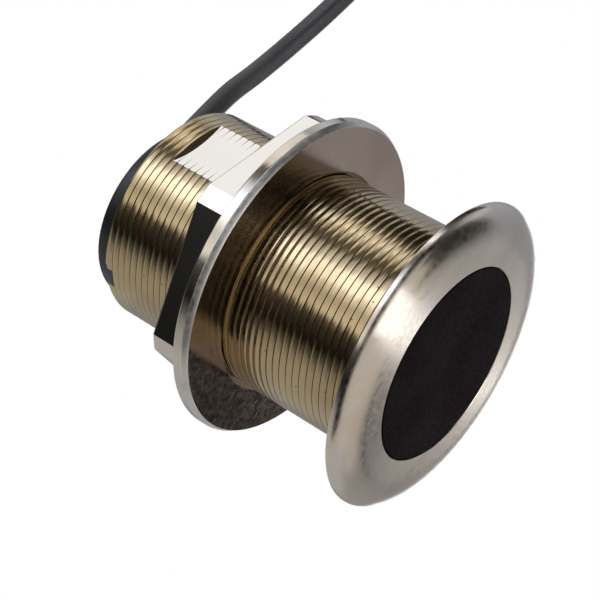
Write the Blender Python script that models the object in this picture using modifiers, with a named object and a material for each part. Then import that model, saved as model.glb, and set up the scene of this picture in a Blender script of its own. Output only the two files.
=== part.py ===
"""A flush bronze sonar transducer that is fastened through a boat's hull, with its hull nut and its cable.

The stem stands along +Z. The origin is at the middle of the acoustic window's outer face, on which the
transducer stands, so +Z points into the boat when it is fitted. Every size is in metres.
"""

import math

import bmesh
import bpy
from mathutils import Matrix, Vector

MM = 0.001
GAP = 0.3 * MM  # clearance between neighbouring pieces

# Housing, one bronze casting
STEM_DIAMETER = 50.8 * MM
STEM_WALL = 3.9 * MM
STEM_EDGE = 0.7 * MM
HOUSING_HEIGHT = 74.8 * MM
FLANGE_OVERHANG = 9.8 * MM
FLANGE_RIM = 0.5 * MM
FACE_RISE = 3.7 * MM
FACE_SHOULDER = 8.0 * MM
ROOT_FILLET = 0.8 * MM
WINDOW_LEDGE = 1.0 * MM
WINDOW_THICKNESS = 3.8 * MM
WINDOW_EDGE = 0.2 * MM

# Wrench flats on the stem, a pair facing opposite ways
FLAT_DEPTH = 1.2 * MM
FLAT_LENGTH = 23.0 * MM
FLAT_TO_END = 6.2 * MM
FLAT_ANGLE = math.radians(-52.2)

# Keyway in the stem's end and the cap's key in it
KEY_ANGLE = math.radians(-142.5)
KEYWAY_WIDTH = 4.6 * MM
KEYWAY_DEPTH = 2.3 * MM
KEYWAY_STEP_WIDTH = 1.6 * MM
KEYWAY_STEP_DEPTH = 0.7 * MM
KEY_SETBACK = 1.0 * MM

# Hull nut, one bronze casting
NUT_POSITION = 39.5 * MM
NUT_FLANGE_DIAMETER = 74.8 * MM
NUT_FLANGE_THICKNESS = 3.6 * MM
NUT_FRONT_CHAMFER_WIDTH = 0.75 * MM
NUT_FRONT_CHAMFER_HEIGHT = 1.3 * MM
NUT_HEX_HEIGHT = 8.6 * MM
NUT_ACROSS_FLATS = 61.5 * MM
NUT_ACROSS_LANDS = 68.6 * MM
NUT_EDGE = 0.35 * MM
NUT_BORE_CHAMFER = 0.7 * MM
NUT_ANGLE = math.radians(-50.7)

# Element stack behind the window
ELEMENT_DIAMETER = 37.0 * MM
ELEMENT_THICKNESS = 10.0 * MM
ELEMENT_EDGE = 0.5 * MM
PAD_THICKNESS = 4.0 * MM
SLEEVE_OVERHANG = 2.0 * MM
SOLDER_RADIUS = 1.3 * MM
SOLDER_HEIGHT = 1.0 * MM
SIGNAL_REACH = 5.0 * MM
RETURN_REACH = 14.5 * MM
SENSOR_RADIUS = 2.0 * MM
SENSOR_LENGTH = 6.0 * MM
SENSOR_WALL = 1.2 * MM
SENSOR_LEAD_SPREAD = 2.0 * MM

# Rear cap, whose crown stands off centre toward the keyway
CROWN_DIAMETER = 41.4 * MM
CROWN_HEIGHT = 4.9 * MM
CROWN_ROUND = 1.0 * MM
CROWN_OFFSET = (-2.2 * MM, -0.8 * MM)
CAP_STEP = 0.6 * MM
CAP_PLUG_DEPTH = 4.0 * MM

# Cable
CABLE_DIAMETER = 5.3 * MM
CORE_DIAMETER = 1.1 * MM
CORE_PITCH_RADIUS = 1.5 * MM
CABLE_IN_POTTING = 11.0 * MM

# Moulded elbow that turns the cable aside on the cap
ELBOW_BASE_DIAMETER = 15.0 * MM
ELBOW_BASE_HEIGHT = 1.6 * MM
ELBOW_ROOT_DIAMETER = 10.4 * MM
ELBOW_TIP_DIAMETER = 7.0 * MM
ELBOW_BEND_RADIUS = 6.6 * MM
ELBOW_REACH = 11.5 * MM
ELBOW_RISE = math.radians(16)
ELBOW_AZIMUTH = math.radians(30)
ELBOW_RIBS = 4
ELBOW_RIB = 0.45 * MM

# Hank of spare cable, a long oval in line with the transducer
COIL_CENTRE = (150.5 * MM, -1 * MM)
COIL_MEAN_RADIUS = 27.3 * MM
COIL_STRAIGHT = 50.0 * MM
COIL_LANES = 3
COIL_LAYERS = 12
COIL_CORNER = 3.0 * MM
TIE_THICKNESS = 1.1 * MM
TIE_WIDTH = 4.6 * MM
TIE_HEAD = 3.0 * MM
TIE_PLACES = ((15 * MM, -90), (-15 * MM, -90), (-COIL_STRAIGHT / 2, 180))  # shift along the hank, and angle

# Plug on the cable's far end
PLUG_BOOT_LENGTH = 17.0 * MM
PLUG_BOOT_TIP_DIAMETER = 7.6 * MM
PLUG_BOOT_RINGS = 3
PLUG_BOOT_GROOVE = 0.6 * MM
PLUG_SHELL_DIAMETER = 16.0 * MM
PLUG_SHELL_LENGTH = 17.0 * MM
PLUG_WALL = 1.6 * MM
PLUG_SOCKET_DEPTH = 9.0 * MM
PLUG_NECK_DIAMETER = 13.6 * MM
PLUG_NECK_LENGTH = 9.0 * MM
PLUG_COLLAR_DIAMETER = 19.6 * MM
PLUG_COLLAR_LENGTH = 11.0 * MM
PLUG_COLLAR_RIBS = 18
PLUG_COLLAR_RIB_DEPTH = 0.5 * MM
PLUG_SEAL_SECTION = 1.3 * MM
PLUG_INSERT_THICKNESS = 5.0 * MM
PLUG_TO_TAIL = 36.0 * MM
PIN_DIAMETER = 1.2 * MM
PIN_LENGTH = 9.0 * MM
PIN_RADIUS = 3.0 * MM
PIN_COUNT = 5

# The free cable's route past the elbow, chosen by hand: it bends over and falls to the hank
CABLE_ROUTE = (
    (24.9 * MM, 14.4 * MM, 92.4 * MM),
    (32.2 * MM, 18.6 * MM, 92.8 * MM),
    (39.0 * MM, 22.4 * MM, 92.0 * MM),
    (49.0 * MM, 26.8 * MM, 90.6 * MM),
    (60.0 * MM, 29.8 * MM, 88.2 * MM),
    (72.0 * MM, 31.2 * MM, 84.8 * MM),
    (84.0 * MM, 31.6 * MM, 80.4 * MM),
    (97.0 * MM, 31.6 * MM, 75.8 * MM),
)
CABLE_REST = 40 * MM  # how much of it lies along the hank's top
CABLE_DROP = 3.5 * MM  # how far it stands above the hank where it starts to settle

# Worked out from the sizes above
STEM_RADIUS = STEM_DIAMETER / 2
BORE_RADIUS = STEM_RADIUS - STEM_WALL
SEAT_RADIUS = BORE_RADIUS + WINDOW_LEDGE
SEAT_DEPTH = WINDOW_THICKNESS + GAP
FLANGE_RADIUS = STEM_RADIUS + FLANGE_OVERHANG
FLANGE_BACK = FACE_RISE + FLANGE_RIM
SHOULDER_RADIUS = FLANGE_RADIUS - FACE_SHOULDER
CABLE_RADIUS = CABLE_DIAMETER / 2
CORE_RADIUS = CORE_DIAMETER / 2
INNER_RADIUS = BORE_RADIUS - GAP
ELEMENT_RADIUS = ELEMENT_DIAMETER / 2
ELEMENT_BASE = SEAT_DEPTH
ELEMENT_TOP = ELEMENT_BASE + ELEMENT_THICKNESS
PAD_BASE = ELEMENT_TOP + GAP
PAD_TOP = PAD_BASE + PAD_THICKNESS
SOLDER_BASE = ELEMENT_TOP + GAP
SOLDER_TOP = SOLDER_BASE + SOLDER_HEIGHT
SLEEVE_TOP = PAD_BASE + SLEEVE_OVERHANG
POTTING_BASE = PAD_TOP + GAP
SENSOR_BASE = max(SLEEVE_TOP, PAD_TOP) + GAP
SENSOR_TOP = SENSOR_BASE + SENSOR_LENGTH
SENSOR_PLACE = INNER_RADIUS - SENSOR_WALL - SENSOR_RADIUS
CAP_BASE = HOUSING_HEIGHT + GAP
CAP_TOP = CAP_BASE + CROWN_HEIGHT
POTTING_TOP = CAP_BASE - CAP_PLUG_DEPTH - GAP
CABLE_END = POTTING_TOP - CABLE_IN_POTTING
CORE_TOP = CABLE_END - GAP
ELBOW_BASE = CAP_TOP + GAP
BUNDLE_WIDTH = COIL_LANES * CABLE_DIAMETER
BUNDLE_HEIGHT = COIL_LAYERS * CABLE_DIAMETER
COIL_BASE = TIE_THICKNESS + GAP
COIL_TOP = COIL_BASE + BUNDLE_HEIGHT
COIL_INNER = COIL_MEAN_RADIUS - BUNDLE_WIDTH / 2
COIL_OUTER = COIL_MEAN_RADIUS + BUNDLE_WIDTH / 2
REST_LANE = COIL_OUTER - CABLE_RADIUS
TAIL_LANE = COIL_OUTER + GAP + CABLE_RADIUS

# Into how many sides a round shape is divided
FINE = 72
MEDIUM = 48
COARSE = 24
SMALL = 12
TINY = 8
ARC_STEPS = 4
BEND_STEPS = 6
ROUTE_SAMPLES = 24
SMOOTH_BELOW = math.radians(35)


def clear_scene():
    """Empty the file of objects."""
    for thing in list(bpy.data.objects):
        bpy.data.objects.remove(thing, do_unlink=True)


def new_collection(name):
    """A collection linked to the scene."""
    made = bpy.data.collections.new(name)
    bpy.context.scene.collection.children.link(made)
    return made


def finish(name, colour, roughness, metallic=0.0):
    """A Principled material."""
    made = bpy.data.materials.new(name)
    made.use_nodes = True
    shader = made.node_tree.nodes["Principled BSDF"]
    shader.inputs["Base Color"].default_value = (*colour, 1.0)
    shader.inputs["Roughness"].default_value = roughness
    shader.inputs["Metallic"].default_value = metallic
    return made


def bronze(name):
    """Turned and cast bronze."""
    return finish(name, (0.55, 0.44, 0.26), 0.3, 1.0)


def black_plastic(name):
    """Black moulded plastic."""
    return finish(name, (0.025, 0.022, 0.024), 0.45)


def copper(name):
    """Bare or tinned wire and contacts."""
    return finish(name, (0.72, 0.6, 0.4), 0.3, 1.0)


def place(mesh, name, look, collection):
    """An object for a mesh or a curve, with its material."""
    thing = bpy.data.objects.new(name, mesh)
    collection.objects.link(thing)
    if look is not None:
        mesh.materials.append(look)
    return thing


def as_cutter(thing):
    """Mark a shape that only cuts others or joins them."""
    thing.hide_render = True
    thing.display_type = "WIRE"
    return thing


def arc(centre_r, centre_z, radius, start, end, steps=ARC_STEPS):
    """Points of an arc in a turned profile, from one angle to another in degrees."""
    angles = [math.radians(start + (end - start) * i / steps) for i in range(steps + 1)]
    return [(centre_r + radius * math.cos(a), centre_z + radius * math.sin(a)) for a in angles]


def turned(name, profile, look, collection, segments=FINE, ring=False):
    """A turned shape. The profile runs down its outer side from the top, and a ring's closes on itself."""
    mesh = bpy.data.meshes.new(name)
    edges = [(i, i + 1) for i in range(len(profile) - 1)]
    if ring:
        edges.append((len(profile) - 1, 0))
    mesh.from_pydata([(r, 0.0, z) for r, z in profile], edges, [])
    thing = place(mesh, name, look, collection)
    screw = thing.modifiers.new("Turn", "SCREW")
    screw.axis = "Z"
    screw.steps = segments
    screw.render_steps = segments
    screw.use_merge_vertices = True
    screw.merge_threshold = 0.01 * MM
    screw.use_smooth_shade = False
    return thing


def box(name, size, centre, angle, collection):
    """A cutter box turned about the stem's axis."""
    mesh = bpy.data.meshes.new(name)
    work = bmesh.new()
    bmesh.ops.create_cube(work, size=1.0, matrix=Matrix.Diagonal((*size, 1.0)))
    work.to_mesh(mesh)
    work.free()
    thing = as_cutter(place(mesh, name, None, collection))
    thing.matrix_world = Matrix.Rotation(angle, 4, "Z") @ Matrix.Translation(centre)
    return thing


def rod_between(name, start, end, radius, look, collection, segments=SMALL):
    """A straight round rod from one point to another."""
    start, end = Vector(start), Vector(end)
    mesh = bpy.data.meshes.new(name)
    work = bmesh.new()
    bmesh.ops.create_cone(
        work, cap_ends=True, segments=segments, radius1=radius, radius2=radius, depth=(end - start).length
    )
    work.to_mesh(mesh)
    work.free()
    thing = place(mesh, name, look, collection)
    turn = (end - start).to_track_quat("Z", "Y").to_matrix().to_4x4()
    thing.matrix_world = Matrix.Translation((start + end) / 2) @ turn
    return thing


def combine(target, other, operation):
    """Cut, join or intersect one shape with another."""
    step = target.modifiers.new(other.name, "BOOLEAN")
    step.operation = operation
    step.solver = "EXACT"
    step.object = other


def polar(radius, share):
    """The point at a radius and a share of a full turn."""
    angle = 2 * math.pi * share
    return radius * math.cos(angle), radius * math.sin(angle)


def extruded(name, loops, half_height):
    """A flat outline of closed loops, filled between them and extruded both ways."""
    curve = bpy.data.curves.new(name, "CURVE")
    curve.dimensions = "2D"
    curve.fill_mode = "BOTH"
    curve.extrude = half_height
    for loop in loops:
        spline = curve.splines.new("POLY")
        spline.points.add(len(loop) - 1)
        spline.use_cyclic_u = True
        for spot, point in zip(spline.points, loop):
            spot.co = (*point, 0.0, 1.0)
    return curve


def smooth_route(points, spacing):
    """Evenly spaced points on a smooth curve through a route's own points."""
    points = [Vector(p) for p in points]
    ends = [2 * points[0] - points[1], *points, 2 * points[-1] - points[-2]]
    fine = []
    for before, a, b, after in zip(ends, ends[1:], ends[2:], ends[3:]):
        for i in range(ROUTE_SAMPLES):
            t = i / ROUTE_SAMPLES
            fine.append(
                0.5
                * (
                    2 * a
                    + (b - before) * t
                    + (2 * before - 5 * a + 4 * b - after) * t**2
                    + (3 * a - before - 3 * b + after) * t**3
                )
            )
    fine.append(points[-1])
    total = sum((b - a).length for a, b in zip(fine, fine[1:]))
    count = max(2, round(total / spacing))
    route, walked, target = [fine[0]], 0.0, total / count
    for a, b in zip(fine, fine[1:]):
        step = (b - a).length
        while walked + step >= target - 1e-12 and len(route) < count:
            route.append(a.lerp(b, (target - walked) / step))
            target += total / count
        walked += step
    route.append(fine[-1])
    return route


def swept(name, points, radii, look, collection, resolution=3):
    """A round tube or tapered rod along a route, as a closed mesh."""
    curve = bpy.data.curves.new(name, "CURVE")
    curve.dimensions = "3D"
    curve.bevel_depth = 1.0
    curve.bevel_resolution = resolution
    curve.use_fill_caps = True
    spline = curve.splines.new("POLY")
    spline.points.add(len(points) - 1)
    for spot, point, radius in zip(spline.points, points, radii):
        spot.co = (*point, 1.0)
        spot.radius = radius
    guide = bpy.data.objects.new(name + "_guide", curve)
    bpy.context.scene.collection.objects.link(guide)
    bpy.context.view_layer.update()
    seen = guide.evaluated_get(bpy.context.evaluated_depsgraph_get())
    mesh = bpy.data.meshes.new_from_object(seen)
    mesh.name = name
    bpy.data.objects.remove(guide)
    work = bmesh.new()
    work.from_mesh(mesh)
    bmesh.ops.remove_doubles(work, verts=work.verts, dist=0.005 * MM)
    bmesh.ops.recalc_face_normals(work, faces=work.faces)
    work.to_mesh(mesh)
    work.free()
    mesh.materials.clear()
    return place(mesh, name, look, collection)


def make_housing(parts, cutters):
    """Stem and flange in one casting: a rounded shoulder round the window, a thin rim and a flat back."""
    fillet = arc(STEM_RADIUS + ROOT_FILLET, FLANGE_BACK + ROOT_FILLET, ROOT_FILLET, 180, 270)
    profile = [
        (BORE_RADIUS + STEM_EDGE / 2, HOUSING_HEIGHT),
        (STEM_RADIUS - STEM_EDGE, HOUSING_HEIGHT),
        (STEM_RADIUS, HOUSING_HEIGHT - STEM_EDGE),
        *fillet,
        (FLANGE_RADIUS, FLANGE_BACK),
        *face_shoulder(),
        (SEAT_RADIUS, 0.0),
        (SEAT_RADIUS, SEAT_DEPTH),
        (BORE_RADIUS, SEAT_DEPTH),
        (BORE_RADIUS, HOUSING_HEIGHT - STEM_EDGE / 2),
    ]
    housing = turned("housing", profile, bronze("housing_bronze"), parts, ring=True)
    for number, side in enumerate((0.0, math.pi)):
        cut = make_flat_cutter(number, side, cutters)
        combine(housing, cut, "DIFFERENCE")
    for cut in make_keyway_cutters(cutters):
        combine(housing, cut, "DIFFERENCE")


def face_shoulder():
    """The face's curve from the rim in to the flat, a quarter of an ellipse."""
    angles = [math.pi / 2 * (1 - i / BEND_STEPS) for i in range(BEND_STEPS + 1)]
    return [
        (SHOULDER_RADIUS + FACE_SHOULDER * math.sin(a), FACE_RISE * (1 - math.cos(a)))
        for a in angles
    ]


def make_flat_cutter(number, side, cutters):
    """A box that mills one wrench flat into the stem."""
    reach = STEM_RADIUS
    size = (reach, STEM_DIAMETER, FLAT_LENGTH)
    x = STEM_RADIUS - FLAT_DEPTH + reach / 2
    z = HOUSING_HEIGHT - FLAT_TO_END - FLAT_LENGTH / 2
    return box(f"flat_cutter_{number}", size, (x, 0.0, z), FLAT_ANGLE + side, cutters)


def make_keyway_cutters(cutters):
    """Boxes that cut the keyway and its shallow step through the stem's end."""
    reach = STEM_WALL * 3
    x = (BORE_RADIUS + STEM_RADIUS) / 2
    made = []
    for name, width, depth, shift in (
        ("keyway_cutter", KEYWAY_WIDTH, KEYWAY_DEPTH, 0.0),
        ("keyway_step_cutter", KEYWAY_STEP_WIDTH, KEYWAY_STEP_DEPTH, KEYWAY_WIDTH / 2),
    ):
        size = (reach, width + GAP, depth * 2)
        made.append(box(name, size, (x, shift, HOUSING_HEIGHT), KEY_ANGLE, cutters))
    return made


def make_hull_nut(parts, cutters):
    """A turned blank with a bevelled flange, whose six flats leave a rounded land at each corner."""
    bore = STEM_RADIUS + GAP
    land = NUT_ACROSS_LANDS / 2
    flange = NUT_FLANGE_DIAMETER / 2
    back = NUT_POSITION + NUT_FLANGE_THICKNESS
    end = back + NUT_HEX_HEIGHT
    profile = [
        (bore + NUT_BORE_CHAMFER, end),
        (land - NUT_EDGE, end),
        (land, end - NUT_EDGE),
        (land, back),
        (flange - NUT_EDGE, back),
        (flange, back - NUT_EDGE),
        (flange, NUT_POSITION + NUT_FRONT_CHAMFER_HEIGHT),
        (flange - NUT_FRONT_CHAMFER_WIDTH, NUT_POSITION),
        (bore + NUT_BORE_CHAMFER, NUT_POSITION),
        (bore, NUT_POSITION + NUT_BORE_CHAMFER),
        (bore, end - NUT_BORE_CHAMFER),
    ]
    nut = turned("hull_nut", profile, bronze("nut_bronze"), parts, ring=True)
    combine(nut, make_hex_cutter(back, end, cutters), "DIFFERENCE")


def make_hex_cutter(back, end, cutters):
    """A thick sleeve with a six-sided hole, which mills the nut's flats. Unturned, a flat faces +X."""
    middle = (back + end) / 2 + NUT_HEX_HEIGHT / 2
    tall = end - back + NUT_HEX_HEIGHT
    mesh = bpy.data.meshes.new("hex_hole")
    work = bmesh.new()
    corner = NUT_ACROSS_FLATS / 2 / math.cos(math.pi / 6)
    bmesh.ops.create_cone(work, cap_ends=True, segments=6, radius1=corner, radius2=corner, depth=2 * tall)
    bmesh.ops.rotate(work, verts=work.verts, matrix=Matrix.Rotation(NUT_ANGLE, 3, "Z"))
    bmesh.ops.translate(work, verts=work.verts, vec=(0.0, 0.0, middle))
    work.to_mesh(mesh)
    work.free()
    hole = as_cutter(place(mesh, "hex_hole", None, cutters))
    outside = NUT_FLANGE_DIAMETER
    profile = [
        (0.0, middle + tall / 2),
        (outside, middle + tall / 2),
        (outside, middle - tall / 2),
        (0.0, middle - tall / 2),
    ]
    sleeve = as_cutter(turned("hex_cutter", profile, None, cutters, segments=COARSE))
    combine(sleeve, hole, "DIFFERENCE")
    return sleeve


def make_window(parts):
    """The moulded face disc through which the sound passes, flush with the housing's face."""
    radius = SEAT_RADIUS - GAP
    profile = [
        (0.0, WINDOW_THICKNESS),
        (radius, WINDOW_THICKNESS),
        (radius, WINDOW_EDGE),
        (radius - WINDOW_EDGE, 0.0),
        (0.0, 0.0),
    ]
    turned("acoustic_window", profile, black_plastic("window_black"), parts)


def make_element(parts):
    """The ceramic disc that rings, with softened edges."""
    profile = [
        (0.0, ELEMENT_TOP),
        (ELEMENT_RADIUS - ELEMENT_EDGE, ELEMENT_TOP),
        (ELEMENT_RADIUS, ELEMENT_TOP - ELEMENT_EDGE),
        (ELEMENT_RADIUS, ELEMENT_BASE + ELEMENT_EDGE),
        (ELEMENT_RADIUS - ELEMENT_EDGE, ELEMENT_BASE),
        (0.0, ELEMENT_BASE),
    ]
    look = finish("silvered_ceramic", (0.75, 0.74, 0.7), 0.4)
    turned("element_disc", profile, look, parts, MEDIUM)


def make_sleeve(parts):
    """The cork ring that keeps the element off the bronze."""
    inner = ELEMENT_RADIUS + GAP
    profile = [
        (INNER_RADIUS, SLEEVE_TOP),
        (INNER_RADIUS, ELEMENT_BASE),
        (inner, ELEMENT_BASE),
        (inner, SLEEVE_TOP),
    ]
    look = finish("cork", (0.45, 0.28, 0.15), 0.9)
    turned("isolation_sleeve", profile, look, parts, MEDIUM, ring=True)


def make_backing_pad(parts, cutters):
    """The cork disc behind the element, pierced for the two solder joints and their cores."""
    profile = [(0.0, PAD_TOP), (ELEMENT_RADIUS, PAD_TOP), (ELEMENT_RADIUS, PAD_BASE), (0.0, PAD_BASE)]
    look = finish("backing_cork", (0.42, 0.26, 0.14), 0.9)
    pad = turned("backing_pad", profile, look, parts, MEDIUM)
    for number, reach in enumerate((SIGNAL_REACH, -RETURN_REACH)):
        low = (reach, 0.0, PAD_BASE - PAD_THICKNESS)
        high = (reach, 0.0, PAD_TOP + PAD_THICKNESS)
        hole = as_cutter(rod_between(f"pad_hole_{number}", low, high, SOLDER_RADIUS + GAP, None, cutters))
        combine(pad, hole, "DIFFERENCE")


def core_ends():
    """Name, lower end, upper end and colour of each insulated core. In the cable they stand in a square."""
    side = CORE_PITCH_RADIUS / math.sqrt(2)
    joint = SOLDER_TOP + GAP
    lead = SENSOR_TOP + GAP
    spread = SENSOR_LEAD_SPREAD / 2
    return (
        ("core_signal", (SIGNAL_REACH, 0.0, joint), (side, -side, CORE_TOP), (0.03, 0.05, 0.3)),
        ("core_return", (-RETURN_REACH, 0.0, joint), (-side, -side, CORE_TOP), (0.02, 0.02, 0.02)),
        ("core_sensor_a", (spread, SENSOR_PLACE, lead), (side, side, CORE_TOP), (0.7, 0.7, 0.68)),
        ("core_sensor_b", (-spread, SENSOR_PLACE, lead), (-side, side, CORE_TOP), (0.35, 0.16, 0.05)),
    )


def make_cores(parts):
    """The cable's insulated cores inside the housing, each run straight to what it is soldered to."""
    for name, low, high, colour in core_ends():
        rod_between(name, low, high, CORE_RADIUS, finish(name + "_skin", colour, 0.4), parts)


def make_solder(parts):
    """A low dome of solder on the element for each of its two cores."""
    for name, reach in (("solder_signal", SIGNAL_REACH), ("solder_return", -RETURN_REACH)):
        dome = [
            (SOLDER_RADIUS * math.sin(a), SOLDER_BASE + SOLDER_HEIGHT * math.cos(a))
            for a in (math.pi / 2 * i / ARC_STEPS for i in range(ARC_STEPS + 1))
        ]
        solder = turned(name, [*dome, (0.0, SOLDER_BASE)], copper(name + "_tin"), parts, SMALL)
        solder.location.x = reach


def make_temperature_sensor(parts):
    """The bead that reads the water's temperature through the bronze."""
    dome = arc(0.0, SENSOR_TOP - SENSOR_RADIUS, SENSOR_RADIUS, 90, 0)
    bowl = arc(0.0, SENSOR_BASE + SENSOR_RADIUS, SENSOR_RADIUS, 0, -90)
    look = finish("sensor_epoxy", (0.04, 0.04, 0.05), 0.3)
    sensor = turned("temperature_sensor", [*dome, *bowl], look, parts, SMALL)
    sensor.location.y = SENSOR_PLACE


def make_potting(parts, cutters):
    """The resin that fills the stem, moulded round the cable's end, its cores and the sensor."""
    profile = [
        (0.0, POTTING_TOP),
        (INNER_RADIUS, POTTING_TOP),
        (INNER_RADIUS, POTTING_BASE),
        (0.0, POTTING_BASE),
    ]
    potting = turned("potting_resin", profile, finish("resin", (0.03, 0.03, 0.035), 0.25), parts, MEDIUM)
    hollows = [("cable_hollow", (0.0, 0.0, CORE_TOP - GAP), (0.0, 0.0, CAP_BASE), CABLE_RADIUS + GAP)]
    for name, low, high, _ in core_ends():
        low, high = Vector(low), Vector(high)
        along = (high - low).normalized() * GAP
        hollows.append((name + "_hollow", low - along, high + along, CORE_RADIUS + GAP))
    low, high = (0.0, SENSOR_PLACE, POTTING_BASE - GAP), (0.0, SENSOR_PLACE, SENSOR_TOP + GAP)
    hollows.append(("sensor_hollow", low, high, SENSOR_RADIUS + GAP))
    for name, low, high, radius in hollows:
        combine(potting, as_cutter(rod_between(name, low, high, radius, None, cutters)), "DIFFERENCE")


def make_rear_cap(parts, cutters):
    """The black cap that closes the stem: a plug, a crown that laps the rim on one side, and a key."""
    plug = [
        (0.0, CAP_BASE + CAP_STEP),
        (INNER_RADIUS, CAP_BASE + CAP_STEP),
        (INNER_RADIUS, CAP_BASE - CAP_PLUG_DEPTH),
        (0.0, CAP_BASE - CAP_PLUG_DEPTH),
    ]
    cap = turned("rear_cap", plug, black_plastic("cap_black"), parts)
    radius = CROWN_DIAMETER / 2
    top = arc(radius - CROWN_ROUND, CAP_TOP - CROWN_ROUND, CROWN_ROUND, 90, 0)
    profile = [(0.0, CAP_TOP), *top, (radius, CAP_BASE), (0.0, CAP_BASE)]
    crown = as_cutter(turned("cap_crown", profile, None, cutters))
    crown.location = (*CROWN_OFFSET, 0.0)
    combine(cap, crown, "UNION")
    combine(cap, make_cap_key(cutters), "UNION")
    low, high = (0.0, 0.0, CAP_BASE - CAP_PLUG_DEPTH * 2), (0.0, 0.0, CAP_TOP + CAP_PLUG_DEPTH)
    hole = rod_between("cap_hole", low, high, CABLE_RADIUS + GAP, None, cutters, COARSE)
    combine(cap, as_cutter(hole), "DIFFERENCE")


def make_cap_key(cutters):
    """The cap's key, which drops from the crown into the keyway."""
    toward = Vector((math.cos(KEY_ANGLE), math.sin(KEY_ANGLE)))
    outside = Vector(CROWN_OFFSET).dot(toward) + CROWN_DIAMETER / 2 - KEY_SETBACK
    inside = BORE_RADIUS - STEM_WALL
    drop = KEYWAY_DEPTH - GAP
    size = (outside - inside, KEYWAY_WIDTH - GAP, drop + CROWN_HEIGHT / 2)
    centre = ((outside + inside) / 2, 0.0, HOUSING_HEIGHT - drop + size[2] / 2)
    return box("cap_key", size, centre, KEY_ANGLE, cutters)


def make_cable_end(parts):
    """The jacketed end of the cable, held in the resin and the cap."""
    low, high = (0.0, 0.0, CABLE_END), (0.0, 0.0, CAP_TOP)
    rod_between("cable_inner_end", low, high, CABLE_RADIUS, black_plastic("cable_end_jacket"), parts)


def elbow_line():
    """The elbow's centreline: up from the cap, round most of a quarter turn, then straight to its tip."""
    away = Vector((math.cos(ELBOW_AZIMUTH), math.sin(ELBOW_AZIMUTH), 0.0))
    up = Vector((0.0, 0.0, 1.0))
    start = Vector((0.0, 0.0, ELBOW_BASE + ELBOW_BASE_HEIGHT / 2))
    line = [start]
    for i in range(1, BEND_STEPS + 1):
        turn = (math.pi / 2 - ELBOW_RISE) * i / BEND_STEPS
        line.append(start + ELBOW_BEND_RADIUS * ((1 - math.cos(turn)) * away + math.sin(turn) * up))
    heading = math.cos(ELBOW_RISE) * away + math.sin(ELBOW_RISE) * up
    return line, heading


def elbow_tip():
    """The middle of the elbow's end face and the way the cable leaves it."""
    line, heading = elbow_line()
    return line[-1] + heading * ELBOW_REACH, heading


def make_elbow(parts, cutters):
    """The moulded strain relief: a round foot on the cap, a bent root and a ribbed, tapered arm."""
    line, heading = elbow_line()
    bend_end = line[-1]
    radii = [ELBOW_ROOT_DIAMETER / 2] * len(line)
    for i in range(ELBOW_RIBS):
        for share, swell in ((0.15, 0.0), (0.3, ELBOW_RIB), (0.7, ELBOW_RIB), (0.85, 0.0)):
            part = (i + share) / ELBOW_RIBS
            line.append(bend_end + heading * ELBOW_REACH * part)
            radii.append(ELBOW_ROOT_DIAMETER / 2 * (1 - part) + ELBOW_TIP_DIAMETER / 2 * part + swell)
    line.append(bend_end + heading * ELBOW_REACH)
    radii.append(ELBOW_TIP_DIAMETER / 2)
    elbow = swept("strain_relief", line, radii, black_plastic("strain_relief_rubber"), parts)
    top = ELBOW_BASE + ELBOW_BASE_HEIGHT
    profile = [
        (0.0, top),
        (ELBOW_BASE_DIAMETER / 2 - ELBOW_BASE_HEIGHT / 2, top),
        (ELBOW_BASE_DIAMETER / 2, ELBOW_BASE),
        (0.0, ELBOW_BASE),
    ]
    foot = as_cutter(turned("elbow_foot", profile, None, cutters, COARSE))
    combine(elbow, foot, "UNION")


def cable_points():
    """The free cable's route: out of the elbow, over, down, and along the top of the hank."""
    tip, heading = elbow_tip()
    start = tip + heading * GAP
    rest = Vector((COIL_CENTRE[0], COIL_CENTRE[1] + REST_LANE, COIL_TOP + GAP + CABLE_RADIUS))
    settle = [
        rest + Vector((-CABLE_REST, 0.0, CABLE_DROP)),
        rest + Vector((-CABLE_REST * 0.6, 0.0, CABLE_DROP * 0.2)),
        rest + Vector((-CABLE_REST * 0.25, 0.0, 0.0)),
    ]
    return [start, start + heading * CABLE_RADIUS, *CABLE_ROUTE, *settle, rest]


def make_cable(parts):
    """The free stretch of cable from the elbow to the hank."""
    route = smooth_route(cable_points(), 2 * CABLE_DIAMETER)
    swept("cable", route, [CABLE_RADIUS] * len(route), black_plastic("cable_jacket"), parts)


def oval(radius):
    """The outline of a long oval whose round ends have a given radius."""
    outline = []
    for shift, start in ((COIL_STRAIGHT / 2, -90), (-COIL_STRAIGHT / 2, 90)):
        for i in range(COARSE + 1):
            angle = math.radians(start + 180 * i / COARSE)
            outline.append((shift + radius * math.cos(angle), radius * math.sin(angle)))
    return outline


def make_coil(parts):
    """The outer shape of the hank that the spare cable is wound in: a thick oval ring with rounded edges."""
    loops = (oval(COIL_OUTER - COIL_CORNER), oval(COIL_INNER + COIL_CORNER))
    curve = extruded("cable_coil", loops, BUNDLE_HEIGHT / 2 - COIL_CORNER)
    curve.bevel_depth = COIL_CORNER
    curve.bevel_resolution = 1
    coil = place(curve, "cable_coil", black_plastic("coil_jacket"), parts)
    coil.location = (*COIL_CENTRE, COIL_BASE + BUNDLE_HEIGHT / 2)


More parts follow.
